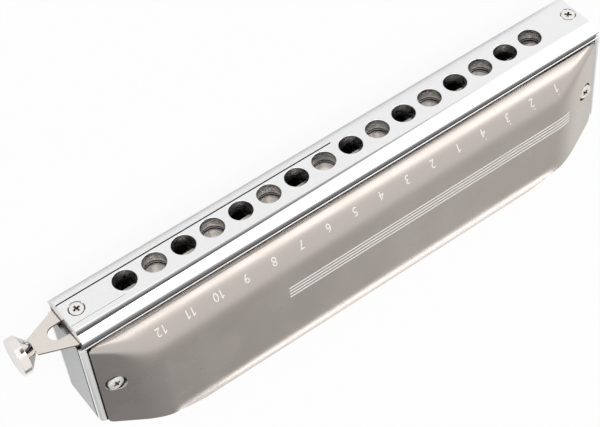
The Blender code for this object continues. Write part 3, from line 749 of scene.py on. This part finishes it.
press_cover("top_cover", 1)
press_cover("bottom_cover", -1)

# %% [markdown]
# The hole numbers and the band of thin lines are pale ink on the top cover. The four lowest numbers carry a
# dot. Text and strips start flat, are cut up finely and then laid on the cover with the same formula that
# pressed it, so they follow its curve.

# %% Print the numbers
INK = finish("pale_ink", (0.93, 0.91, 0.87), 0.40, 0.55, 0)
INK_T = 0.03 * MM
INK_LIFT = 0.015 * MM
NUMBERS = [str(n) for n in range(12, 0, -1)] + [str(n) for n in range(4, 0, -1)]
DOTTED = 4
NUMBER_HEIGHT = 2.5 * MM
NUMBER_CUTS = 2
FONT_SHARE = 1.38
NUMBER_Y = ROW_MIDDLE.y + 10.5 * MM
NUMBER_PITCH = 9.15 * MM
NUMBER_SHIFT = -0.4 * MM
DIGIT_STEP = 1.7 * MM
FLAG_L = 0.85 * MM
FLAG_TURN = math.radians(42)
FLAG_BACK = 0.42
FLAG_DOWN = 0.38
STROKE = 0.32 * MM
DOT_R = 0.22 * MM
DOT_SIDES = 12
DOT_ASIDE = 0.5 * MM
DOT_RISE = 0.9 * NUMBER_HEIGHT


def lay_on_cover(obj, cuts):
    """Cuts a flat print up, lays it on the cover and gives it the thickness of ink."""
    only(obj)
    apply_place()
    pick_all(obj)
    bpy.ops.mesh.remove_doubles(threshold=TINY)
    bpy.ops.mesh.quads_convert_to_tris()
    if cuts:
        bpy.ops.mesh.subdivide(number_cuts=cuts)
    bpy.ops.object.mode_set(mode="OBJECT")
    for point in obj.data.vertices:
        point.co.z = outer_height(point.co.x, point.co.y) + INK_LIFT + INK_T
    wall = obj.modifiers.new("ink", "SOLIDIFY")
    wall.thickness = INK_T
    wall.offset = -1
    apply_all(obj)
    return obj


def print_digit(digit, x):
    """One flat digit, with its middle at x. A one gets the short flag that the plain font leaves out."""
    bpy.ops.object.text_add(location=(x, NUMBER_Y, 0))
    text = bpy.context.object
    text.data.body = digit
    text.data.align_x = "CENTER"
    text.data.align_y = "CENTER"
    text.data.size = NUMBER_HEIGHT * FONT_SHARE
    bpy.ops.object.convert(target="MESH")
    made = [bpy.context.object]
    if digit == "1":
        tip = (x - FLAG_L * FLAG_BACK, NUMBER_Y + NUMBER_HEIGHT / 2 - FLAG_L * FLAG_DOWN, 0)
        bpy.ops.mesh.primitive_plane_add(size=1, location=tip, rotation=(0, 0, FLAG_TURN))
        bpy.context.object.scale = (FLAG_L, STROKE, 1)
        made.append(bpy.context.object)
    return made


def print_dot(x):
    """The dot over a low number whose middle is at x."""
    bpy.ops.mesh.primitive_circle_add(vertices=DOT_SIDES, radius=DOT_R, fill_type="TRIFAN",
                                      location=(x - DOT_ASIDE, NUMBER_Y + DOT_RISE, 0))
    return bpy.context.object


prints = []
for place, number in enumerate(NUMBERS):
    x = ((len(NUMBERS) - 1) / 2 - place) * NUMBER_PITCH + NUMBER_SHIFT
    for k, digit in enumerate(number):
        prints += print_digit(digit, x + (k - (len(number) - 1) / 2) * DIGIT_STEP)
    if place >= len(NUMBERS) - DOTTED:
        prints.append(print_dot(x))
numbers = lay_on_cover(joined(prints), NUMBER_CUTS)
settle(numbers, "cover_numbers", "satin_cover", "root", material=INK)

# %% [markdown]
# The band is four plain stripes. Each starts as a long flat grid, so that it can bend with the cover.

# %% Print the lines
LINE_COUNT = 4
LINE_PITCH = 1.25 * MM
LINE_WIDTH = 0.5 * MM
LINE_PIECES = 60
LINE_FIRST_Y = ROW_MIDDLE.y + 23.4 * MM
LINES_RIGHT = 29 * MM
LINES_LEFT = -74.3 * MM

strips = []
for line in range(LINE_COUNT):
    middle = ((LINES_LEFT + LINES_RIGHT) / 2, LINE_FIRST_Y + line * LINE_PITCH, 0)
    bpy.ops.mesh.primitive_grid_add(x_subdivisions=LINE_PIECES, y_subdivisions=1, size=1, location=middle)
    strip = bpy.context.object
    strip.scale = (LINES_RIGHT - LINES_LEFT, LINE_WIDTH, 1)
    strips.append(strip)
lines = lay_on_cover(joined(strips), 0)
settle(lines, "cover_lines", "satin_cover", "root", material=INK)

# %% [markdown]
# One pitch sets the whole row: sixteen holes in the mouthpiece, the reed slots over the chambers behind them
# and the windows of the slide.

# %% The hole row
HOLE_COUNT = 16
PITCH = 9.3 * MM
HOLES = [((HOLE_COUNT - 1) / 2 - i) * PITCH for i in range(HOLE_COUNT)]
print("hole row from", round(HOLES[0] / MM, 2), "to", round(HOLES[-1] / MM, 2), "mm")

# %% [markdown]
# The two reed plates lie between comb and covers and stand a little proud of the covers all round. Each
# starts as a block: two slanting cuts take off its back corners, a bevel rounds the corners beside them, and
# two more roll the outer edge, tightly along the front. Then the slots for the reeds and the holes for the
# screws are cut. Last comes a fine seam along the cover's front and ends, with shade painted into it, near
# black. The plate's ends beyond it are polished; they get a paler, duller metal, a painted highlight, so they
# show as bright lines.

# %% Reed plates
PLATE_ROLL = 0.85 * MM
FRONT_ROLL = 0.3 * MM
BODY_CORNER = 1.8 * MM
CORNER_TURN = math.pi / 2 - math.atan(CHAMFER_SLOPE)
SEAM = 0.32 * MM
SEAM_UNDER = 0.1 * MM
SEAM_DEPTH = 0.3 * MM
SEAM_SLACK = 0.05 * MM
SHORT_CHAMBER = 16 * MM
CHAMBER_GROWTH = 18 * MM
SLOT_ASIDE = 1.9 * MM
SLOT_HALF = 1.15 * MM
SLOT_START = 5 * MM
SLOT_SHORTER = 3.3 * MM
PLATE_HOLE_R = 1.15 * MM
PLATE_HOLE_L = 4 * MM
PLATE_SCREWS = (1, 2, 3)
RIM_SHARE = 0.9


def body_blank(low, high):
    """A block with the body's outline from above: slanted at the back, with rounded corners at its ends."""
    blank = block(low, high)
    for sign in (1, -1):
        away = Vector((sign * CHAMFER_SLOPE, 1, 0)).normalized()
        slice_off(blank, (sign * COVER_HIGH.x, CHAMFER_START, 0), away)
    middle = (low.y + high.y) / 2
    pick(blank, "EDGE", lambda spot, way: abs(way.z) > FACING and abs(spot.x) > high.x - TINY
         and spot.y > middle)
    bpy.ops.mesh.bevel(offset=BODY_CORNER * math.tan(CORNER_TURN / 2), segments=8, affect="EDGES")
    bpy.ops.object.mode_set(mode="OBJECT")
    return blank


def chamber_length(i):
    """Chambers grow from the high notes by the button to the low notes at the far end."""
    return SHORT_CHAMBER + CHAMBER_GROWTH * i / (HOLE_COUNT - 1)


def reed_slots(low, high):
    """Cutters for a pair of slots over each chamber."""
    slots = []
    for i, x in enumerate(HOLES):
        for aside in (-SLOT_ASIDE, SLOT_ASIDE):
            end = low.y + chamber_length(i) - SLOT_SHORTER
            slots.append(block((x + aside - SLOT_HALF, low.y + SLOT_START, low.z - PAST),
                               (x + aside + SLOT_HALF, end, high.z + PAST)))
    return joined(slots)


def plate_holes(low):
    """Cutters for the screws of the cover and of the plate."""
    holes = [(sign * SCREW_SPOT.x, SCREW_SPOT.y, low.z - PAST) for sign in (1, -1)]
    for number in PLATE_SCREWS:
        screw = sum(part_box(f"upper_plate_screw_{number}"), Vector()) / 2
        holes.append((screw.x, screw.y, low.z - PAST))
    return joined([rod(PLATE_HOLE_R, (0, PLATE_HOLE_L), spot, sides=24) for spot in holes])


def seam_boxes(level):
    """Corners of three blocks that cut the seam into the plate's outer face."""
    front = COVER_LOW.y - SEAM
    end = COVER_HIGH.x + SEAM
    low, high = level - SEAM_DEPTH, level + SEAM_DEPTH
    boxes = [((-end, front, low), (end, COVER_LOW.y + SEAM_UNDER, high))]
    for sign in (1, -1):
        near, far = sorted((sign * end, sign * (COVER_HIGH.x - SEAM_UNDER)))
        boxes.append(((near, front, low), (far, CHAMFER_START, high)))
    return boxes


def in_seam(spot, level):
    """True for a face inside the seam, where shade is painted."""
    sunk = TINY < abs(spot.z - level) < SEAM_DEPTH + TINY
    return sunk and any(low[0] - SEAM_SLACK < spot.x < high[0] + SEAM_SLACK
                        and low[1] - SEAM_SLACK < spot.y < high[1] + SEAM_SLACK
                        for low, high in seam_boxes(level))


def make_plate(node, side):
    """One reed plate: side is 1 for the upper one and -1 for the lower one."""
    low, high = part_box(node)
    plate = body_blank(low, high)
    outer = high.z if side > 0 else low.z
    for roll, at_front in ((FRONT_ROLL, True), (PLATE_ROLL, False)):
        pick(plate, "EDGE", lambda spot, way: abs(way.z) < 1 - FACING and abs(spot.z - outer) < TINY
             and (spot.y < low.y + FRONT_ROLL + TINY) == at_front)
        bpy.ops.mesh.bevel(offset=roll, segments=6, affect="EDGES")
    bpy.ops.object.mode_set(mode="OBJECT")
    carve(plate, reed_slots(low, high), plate_holes(low))
    carve(plate, *[block(*corners) for corners in seam_boxes(outer)])
    settle(plate, node + "_rolled", "plate_metal", "root", node, angle=40)
    # painted highlight: a paler, duller metal on the plate's ends beyond the seam
    paint(plate, "rim_painted_highlight", lambda spot, normal: abs(spot.x) > COVER_HIGH.x + SEAM * RIM_SHARE
          and (spot.z - outer) * side > -PLATE_ROLL)
    # painted shade: near black in the seam along the cover's rim
    paint(plate, "painted_shade", lambda spot, normal: in_seam(spot, outer))
    return plate


make_plate("upper_reed_plate", 1)
make_plate("lower_reed_plate", -1)

# %% [markdown]
# The mouthpiece is a chromed bar with round shoulders, so that it is kind to the lips. It is lofted from a
# thin slab at its back: the slab's front face is drawn out along a slope and then, step by step, round an
# arc, and its ends are drawn in a little. The far end is then rounded more, ring by ring.

# %% Loft the mouthpiece
LAND_HALF = 4.15 * MM
SHOULDER_R = 4.9 * MM
SHOULDER_TURN = math.radians(43)
SHOULDER_STEPS = 14
BACK_SLAB = 0.1 * MM
END_ROUND = 0.9 * MM
FAR_INSET = 1.9 * MM
FAR_DEPTH = 4.2 * MM


def shoulder_rings():
    """Where the bar's cross section turns: pairs of a place along Y and half a height."""
    turns = [SHOULDER_TURN * (1 - step / SHOULDER_STEPS) for step in range(SHOULDER_STEPS + 1)]
    rings = [(MOUTH_LOW.y + SHOULDER_R * (1 - math.cos(turn)), LAND_HALF + SHOULDER_R * math.sin(turn))
             for turn in turns]
    half_height = MOUTH_HIGH.z - ROW_MIDDLE.z
    slope_run = (half_height - rings[0][1]) * math.tan(SHOULDER_TURN)
    return [(rings[0][0] + slope_run, half_height)] + rings


def drawn_in(y, amount, depth):
    """How far an end is drawn in at one place: round, from nothing at some depth to all at the face."""
    near_face = clamp(1 - (y - MOUTH_LOW.y) / depth)
    return amount * (1 - math.sqrt(1 - near_face * near_face))


rings = shoulder_rings()
y, length, height = MOUTH_HIGH.y - BACK_SLAB, MOUTH_HIGH.x, rings[0][1]
mouth = block((MOUTH_LOW.x, y, MOUTH_LOW.z), MOUTH_HIGH)
pick(mouth, "FACE", lambda spot, normal: normal.y < -FACING)
for new_y, new_height in rings:
    new_length = MOUTH_HIGH.x - drawn_in(new_y, END_ROUND, END_ROUND)
    bpy.ops.mesh.extrude_region_move(TRANSFORM_OT_translate={"value": (0, new_y - y, 0)})
    middle = (0, new_y, ROW_MIDDLE.z)
    bpy.ops.transform.resize(value=(new_length / length, 1, new_height / height), center_override=middle)
    y, length, height = new_y, new_length, new_height
for ring_y, _ in rings:
    pick(mouth, "VERT", lambda spot, normal: spot.x < 0 and abs(spot.y - ring_y) < TINY / 10)
    bpy.ops.transform.translate(value=(drawn_in(ring_y, FAR_INSET, FAR_DEPTH), 0, 0))
bpy.ops.object.mode_set(mode="OBJECT")
print("rings in the mouthpiece:", len(rings))

# %% [markdown]
# Two fine grooves border a part of the flat land; shade is painted into them. Each hole is cut with a turned
# cutter whose mouth flares, which leaves a soft rim that a straight cylinder would not, and the screws' holes
# are sunk for their heads. Inside, the bores are left dull, and their metal is painted darker as painted
# shade.

# %% Cut the mouthpiece
HOLE_R = 3.4 * MM
RIM = 0.3 * MM
GROOVES = ((-1, 0.44 * MM, -0.7 * MM), (1, 0.10 * MM, 72 * MM))
GROOVE_DEPTH = 0.3 * MM
SHANK_HOLE_R = 1.2 * MM
MOUTH_HEAD_R = 2.0 * MM
SINK_R = MOUTH_HEAD_R + 0.38 * MM
SINK_DEPTH = 0.3 * MM
MOUTH_DEPTH = MOUTH_HIGH.y - MOUTH_LOW.y
MOUTH_SCREW = sum(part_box("mouthpiece_screw_right"), Vector()) / 2


def groove_cutters():
    """A block for each groove, given its side, its width and where it starts."""
    cutters = []
    for side, width, start in GROOVES:
        level = ROW_MIDDLE.z + side * LAND_HALF
        cutters.append(block((start, MOUTH_LOW.y - PAST, level - width / 2),
                             (MOUTH_HIGH.x + PAST, MOUTH_LOW.y + GROOVE_DEPTH, level + width / 2)))
    return joined(cutters)


def turned_cutters(profile, places):
    """The same turned cutter at several places along the row."""
    return joined([turned(profile, (x, MOUTH_LOW.y, ROW_MIDDLE.z), INTO) for x in places])


def in_bore(spot, normal):
    """True for a face on a hole's wall, behind its soft rim, which gets a dull metal painted darker as shade.
    """
    hole = min(HOLES, key=lambda x: abs(x - spot.x))
    distance = math.hypot(spot.x - hole, spot.z - ROW_MIDDLE.z)
    return spot.y > MOUTH_LOW.y + RIM - 3 * TINY and abs(normal.y) < FACING and distance < HOLE_R + 2 * TINY


def in_groove(spot, normal):
    """True for a face inside one of the two grooves, where shade is painted."""
    reach = max(width for side, width, start in GROOVES) / 2 + TINY
    return (abs(abs(spot.z - ROW_MIDDLE.z) - LAND_HALF) < reach and spot.x > -PAST
            and MOUTH_LOW.y + 2 * TINY < spot.y < MOUTH_LOW.y + GROOVE_DEPTH + TINY)


flare = [(-PAST, HOLE_R + RIM)] + [(RIM * (1 - b), HOLE_R + RIM * (1 - a)) for a, b in quarter(4)]
flare.append((MOUTH_DEPTH + PAST, HOLE_R))
sink = [(-PAST, SINK_R), (SINK_DEPTH, SINK_R), (SINK_DEPTH + SINK_R - SHANK_HOLE_R, SHANK_HOLE_R),
        (MOUTH_DEPTH + PAST, SHANK_HOLE_R)]
carve(mouth, groove_cutters())
carve(mouth, turned_cutters(flare, HOLES))
carve(mouth, turned_cutters(sink, (MOUTH_SCREW.x, -MOUTH_SCREW.x)))
settle(mouth, "mouthpiece_bar", "chrome", "root", "mouthpiece", angle=30)
# dull metal on the holes' walls, painted darker as painted shade
paint(mouth, "dull_shaded_bore", in_bore)
# painted shade: near black in the two grooves
paint(mouth, "painted_shade", in_groove)

# %% [markdown]
# Six screws show their heads, two in each cover and two in the mouthpiece. A tapering cross is driven into
# each. Its cutter is a small cube whose four sides are drawn out, with its tip drawn in. The walls of the
# cross are painted dark brown: partly dirt, partly painted shade from their depth.

# %% Cross recess
CROSS_SPAN = 2.7 * MM
CROSS_WIDTH = 0.8 * MM
CROSS_DEPTH = 0.9 * MM
CROSS_TAPER = 0.45
CROSS_WAYS = ((1, 0, 0), (-1, 0, 0), (0, 1, 0), (0, -1, 0))


def cross_cutter(top, axis, turn):
    """A tapering cross that points along the axis from a screw's top."""
    half = CROSS_WIDTH / 2
    cutter = block((-half, -half, -CROSS_DEPTH), (half, half, PAST / 2))
    for way in map(Vector, CROSS_WAYS):
        pick(cutter, "FACE", lambda spot, normal: normal.dot(way) > FACING and spot.dot(way) > half - TINY
             and abs(spot.cross(way).z) < TINY)
        reach = way * (CROSS_SPAN - CROSS_WIDTH) / 2
        bpy.ops.mesh.extrude_region_move(TRANSFORM_OT_translate={"value": reach})
    pick(cutter, "VERT", lambda spot, normal: spot.z < -CROSS_DEPTH / 2)
    bpy.ops.transform.resize(value=(CROSS_TAPER, CROSS_TAPER, 1))
    bpy.ops.object.mode_set(mode="OBJECT")
    cutter.rotation_mode = "QUATERNION"
    cutter.rotation_quaternion = (-axis).to_track_quat("Z", "Y") @ Quaternion(UP, turn)
    cutter.location = top
    only(cutter)
    apply_place()
    return cutter


def in_cross(spot, normal, top, axis):
    """True for a face on a wall of the cross that was driven into a screw's top, where dirt and painted shade
    go.
    """
    way = spot - top
    down = way.dot(axis)
    aside = (way - axis * down).length
    in_reach = 2 * TINY < down < CROSS_DEPTH and aside < CROSS_SPAN / 2 + 2 * TINY
    return in_reach and abs(normal.dot(axis)) < FACING


def finish_screw(node, profile, top, axis, turn):
    """Turns a screw from its profile, drives the cross into it and puts it in its node's place."""
    screw = turned(profile, top, axis)
    carve(screw, cross_cutter(top, axis, turn))
    settle(screw, node + "_detail", "screw_steel", "root", node, angle=30)
    # dirt and painted shade: dark brown on the walls of the cross
    paint(screw, "recess_dirt_and_shade", lambda spot, normal: in_cross(spot, normal, top, axis))
    return screw


print("cross span in mm:", round(CROSS_SPAN / MM, 2))

# %% [markdown]
# A cover screw has a softly crowned head over a straight rim. A mouthpiece screw has a flat head that tapers
# into its shank and sits flush. Each cross is turned its own way, as a screwdriver leaves it.

# %% Screws
HEAD_R = 2.3 * MM
HEAD_CROWN = 0.35 * MM
HEAD_RIM = 0.83 * MM
HEAD_CENTRE_R = 0.1 * MM
FLAT_RIM = 0.25 * MM
FLAT_SOFT = (0.08 * MM, 0.12 * MM)
SHANK_R = 0.9 * MM
TIP_R = 0.5 * MM
TIP_L = 0.4 * MM
DOWN = (0, 0, -1)
COVER_SCREWS = (("top_cover_screw_right", DOWN, 20), ("top_cover_screw_left", DOWN, 50),
                ("bottom_cover_screw_right", UP, 70), ("bottom_cover_screw_left", UP, 5))
MOUTH_SCREWS = (("mouthpiece_screw_right", 12), ("mouthpiece_screw_left", 40))


def shank(start, length):
    """The rings of a shank with a narrower tip."""
    return [(start, SHANK_R), (length - TIP_L, SHANK_R), (length, TIP_R)]


def make_cover_screw(node, axis, degrees):
    """One screw with a crowned head."""
    low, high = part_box(node)
    axis = Vector(axis)
    length = abs((high - low).dot(axis))
    top = (low + high) / 2 - axis * length / 2
    profile = [(HEAD_CROWN * (1 - b), max(HEAD_R * a, HEAD_CENTRE_R)) for a, b in quarter(8)]
    profile.append((HEAD_CROWN + HEAD_RIM, HEAD_R))
    profile += shank(HEAD_CROWN + HEAD_RIM + 2 * TINY, length)
    return finish_screw(node, profile, top, axis, math.radians(degrees))


def make_mouth_screw(node, degrees):
    """One screw with a flat head that tapers into its shank."""
    low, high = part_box(node)
    top = Vector(((low.x + high.x) / 2, low.y, (low.z + high.z) / 2))
    profile = [(0, MOUTH_HEAD_R - FLAT_SOFT[1]), (FLAT_SOFT[0], MOUTH_HEAD_R), (FLAT_RIM, MOUTH_HEAD_R)]
    profile += shank(FLAT_RIM + MOUTH_HEAD_R - SHANK_R, high.y - low.y)
    return finish_screw(node, profile, top, Vector(INTO), math.radians(degrees))


for node, axis, degrees in COVER_SCREWS:
    make_cover_screw(node, axis, degrees)
for node, degrees in MOUTH_SCREWS:
    make_mouth_screw(node, degrees)

# %% [markdown]
# The push button is turned from bar: a short cone swells into a thick rim with crisp corners and a flat face.
# A slot in its cone takes the slide's tongue, and a rivet goes through both.

# %% Button
BUTTON_LOW, BUTTON_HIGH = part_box("button")
BUTTON_MIDDLE = (BUTTON_LOW + BUTTON_HIGH) / 2
BUTTON_R = (BUTTON_HIGH.z - BUTTON_LOW.z) / 2
BUTTON_L = BUTTON_HIGH.x - BUTTON_LOW.x
STEM_R = 2.3 * MM
STEM_SOFT = 0.15 * MM
CONE_L = 2.7 * MM
BUTTON_SOFT = 0.18 * MM
SLOT_L = 2.4 * MM
SLOT_THICK_HALF = 0.6 * MM
SLOT_TALL_HALF = 1.8 * MM
RIVET_HOLE_R = 0.6 * MM
RIVET_MIDDLE = sum(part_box("button_rivet"), Vector()) / 2

rim = [(CONE_L + BUTTON_SOFT * (1 - b), BUTTON_R - BUTTON_SOFT * (1 - a)) for a, b in quarter(5)]
face = [(BUTTON_L - BUTTON_SOFT * (1 - a), BUTTON_R - BUTTON_SOFT * (1 - b)) for a, b in quarter(5)]
profile = [(0, STEM_R - STEM_SOFT), (STEM_SOFT, STEM_R)] + rim + face
button = turned(profile, (BUTTON_LOW.x, BUTTON_MIDDLE.y, BUTTON_MIDDLE.z), (1, 0, 0), 96)
slot_half = Vector((0, SLOT_THICK_HALF, SLOT_TALL_HALF))
slot_start = Vector((BUTTON_LOW.x - PAST, BUTTON_MIDDLE.y, BUTTON_MIDDLE.z))
slot_end = Vector((BUTTON_LOW.x + SLOT_L, BUTTON_MIDDLE.y, BUTTON_MIDDLE.z))
slot_cutter = block(slot_start - slot_half, slot_end + slot_half)
rivet_cutter = rod(RIVET_HOLE_R, (-BUTTON_R - PAST, BUTTON_R + PAST), RIVET_MIDDLE, INTO, 24)
carve(button, slot_cutter, rivet_cutter)
settle(button, "button_turning", "nickel", "slide", "button", angle=30, material=FINISHES["bright_nickel"])

# %% [markdown]
# The slide is a flat strip with two rows of windows. Outside the body it narrows to an arm with a D shaped
# opening. It is cut from a thin slab: two slanting cuts shape the arm, its end is drawn out into the tongue
# that the button holds, and a box and a round cutter together make the opening. Each window but the last
# reaches further towards the far end, by as much as the slide travels.

# %% Slide
SLIDE_LOW, SLIDE_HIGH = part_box("slide")
SLIDE_HALF = SLIDE_HIGH.z - ROW_MIDDLE.z
ARM_BASE = MOUTH_HIGH.x + 0.6 * MM
ARM_TIP = BUTTON_LOW.x - 0.3 * MM
TIP_HALF = 3.0 * MM
TONGUE_HALF = 1.5 * MM
OPENING_R = 2.5 * MM
OPENING_START = MOUTH_SCREW.x - 2.0 * MM
OPENING_ROUND = MOUTH_HIGH.x + 0.3 * MM + OPENING_R
WINDOW_HALF = 2.1 * MM
WINDOW_LOW = 0.6 * MM
WINDOW_HIGH = 4.9 * MM
TRAVEL = PITCH / 2
EDGE_SOFT = 0.07 * MM
EDGE_ANGLE = math.radians(60)
WALL_TILT = 0.3


def slide_blank():
    """The strip with its arm and tongue, before anything is cut out of it."""
    blank = block(SLIDE_LOW, (ARM_TIP, SLIDE_HIGH.y, SLIDE_HIGH.z))
    for side in (1, -1):
        away = Vector((SLIDE_HALF - TIP_HALF, 0, side * (ARM_TIP - ARM_BASE))).normalized()
        slice_off(blank, (ARM_BASE, 0, ROW_MIDDLE.z + side * SLIDE_HALF), away)
    pick(blank, "FACE", lambda spot, normal: normal.x > FACING)
    bpy.ops.mesh.extrude_region_move(TRANSFORM_OT_translate={"value": (0, 0, 0)})
    bpy.ops.transform.resize(value=(1, 1, TONGUE_HALF / TIP_HALF))
    bpy.ops.mesh.extrude_region_move(TRANSFORM_OT_translate={"value": (SLIDE_HIGH.x - ARM_TIP, 0, 0)})
    bpy.ops.object.mode_set(mode="OBJECT")
    return blank


def window_cutters():
    """Cutters for the windows, which lie in a lower and an upper row by turns."""
    cutters = []
    for i, x in enumerate(HOLES):
        row = -1 if i % 2 == 0 else 1
        travel = TRAVEL if i < HOLE_COUNT - 1 else 0
        low, high = sorted(ROW_MIDDLE.z + row * level for level in (WINDOW_LOW, WINDOW_HIGH))
        cutters.append(block((x - WINDOW_HALF - travel, SLIDE_LOW.y - PAST, low),
                             (x + WINDOW_HALF, SLIDE_HIGH.y + PAST, high)))
    return joined(cutters)


slide = slide_blank()
carve(slide, window_cutters())
opening = block((OPENING_START, SLIDE_LOW.y - PAST, ROW_MIDDLE.z - OPENING_R),
                (OPENING_ROUND, SLIDE_HIGH.y + PAST, ROW_MIDDLE.z + OPENING_R))
round_spot = (OPENING_ROUND, SLIDE_LOW.y, ROW_MIDDLE.z)
round_end = rod(OPENING_R, (-PAST, SLIDE_HIGH.y - SLIDE_LOW.y + PAST), round_spot, INTO, 96)
carve(slide, opening, round_end)
soft = slide.modifiers.new("soft_edges", "BEVEL")
soft.width = EDGE_SOFT
soft.segments = 2
soft.limit_method = "ANGLE"
soft.angle_limit = EDGE_ANGLE
apply_all(slide)
settle(slide, "slide_blade", "nickel", "slide", "slide", angle=30)
paint(slide, "cut_edge", lambda spot, normal: abs(normal.y) < WALL_TILT)

# %% [markdown]
# The rest of the instrument keeps its CAD solids: the comb, whose plain end shows, the button's rivet, and
# what lies inside. Each takes the finish that its own slot names. Only the slide box differs: its plates lie
# in shade between mouthpiece and comb, so they are given a darker steel.

# %% Dress the frame's own solids
DARKER = {"slide_front_plate": "box_steel", "slide_back_plate": "box_steel"}
for name, node in NODES.items():
    if node.hide_render:
        continue
    slot = node.data.materials[0].name.split(".")[0]
    node.data.materials.clear()
    node.data.materials.append(FINISHES[DARKER.get(name, slot)])
    print(name, "->", DARKER.get(name, slot))
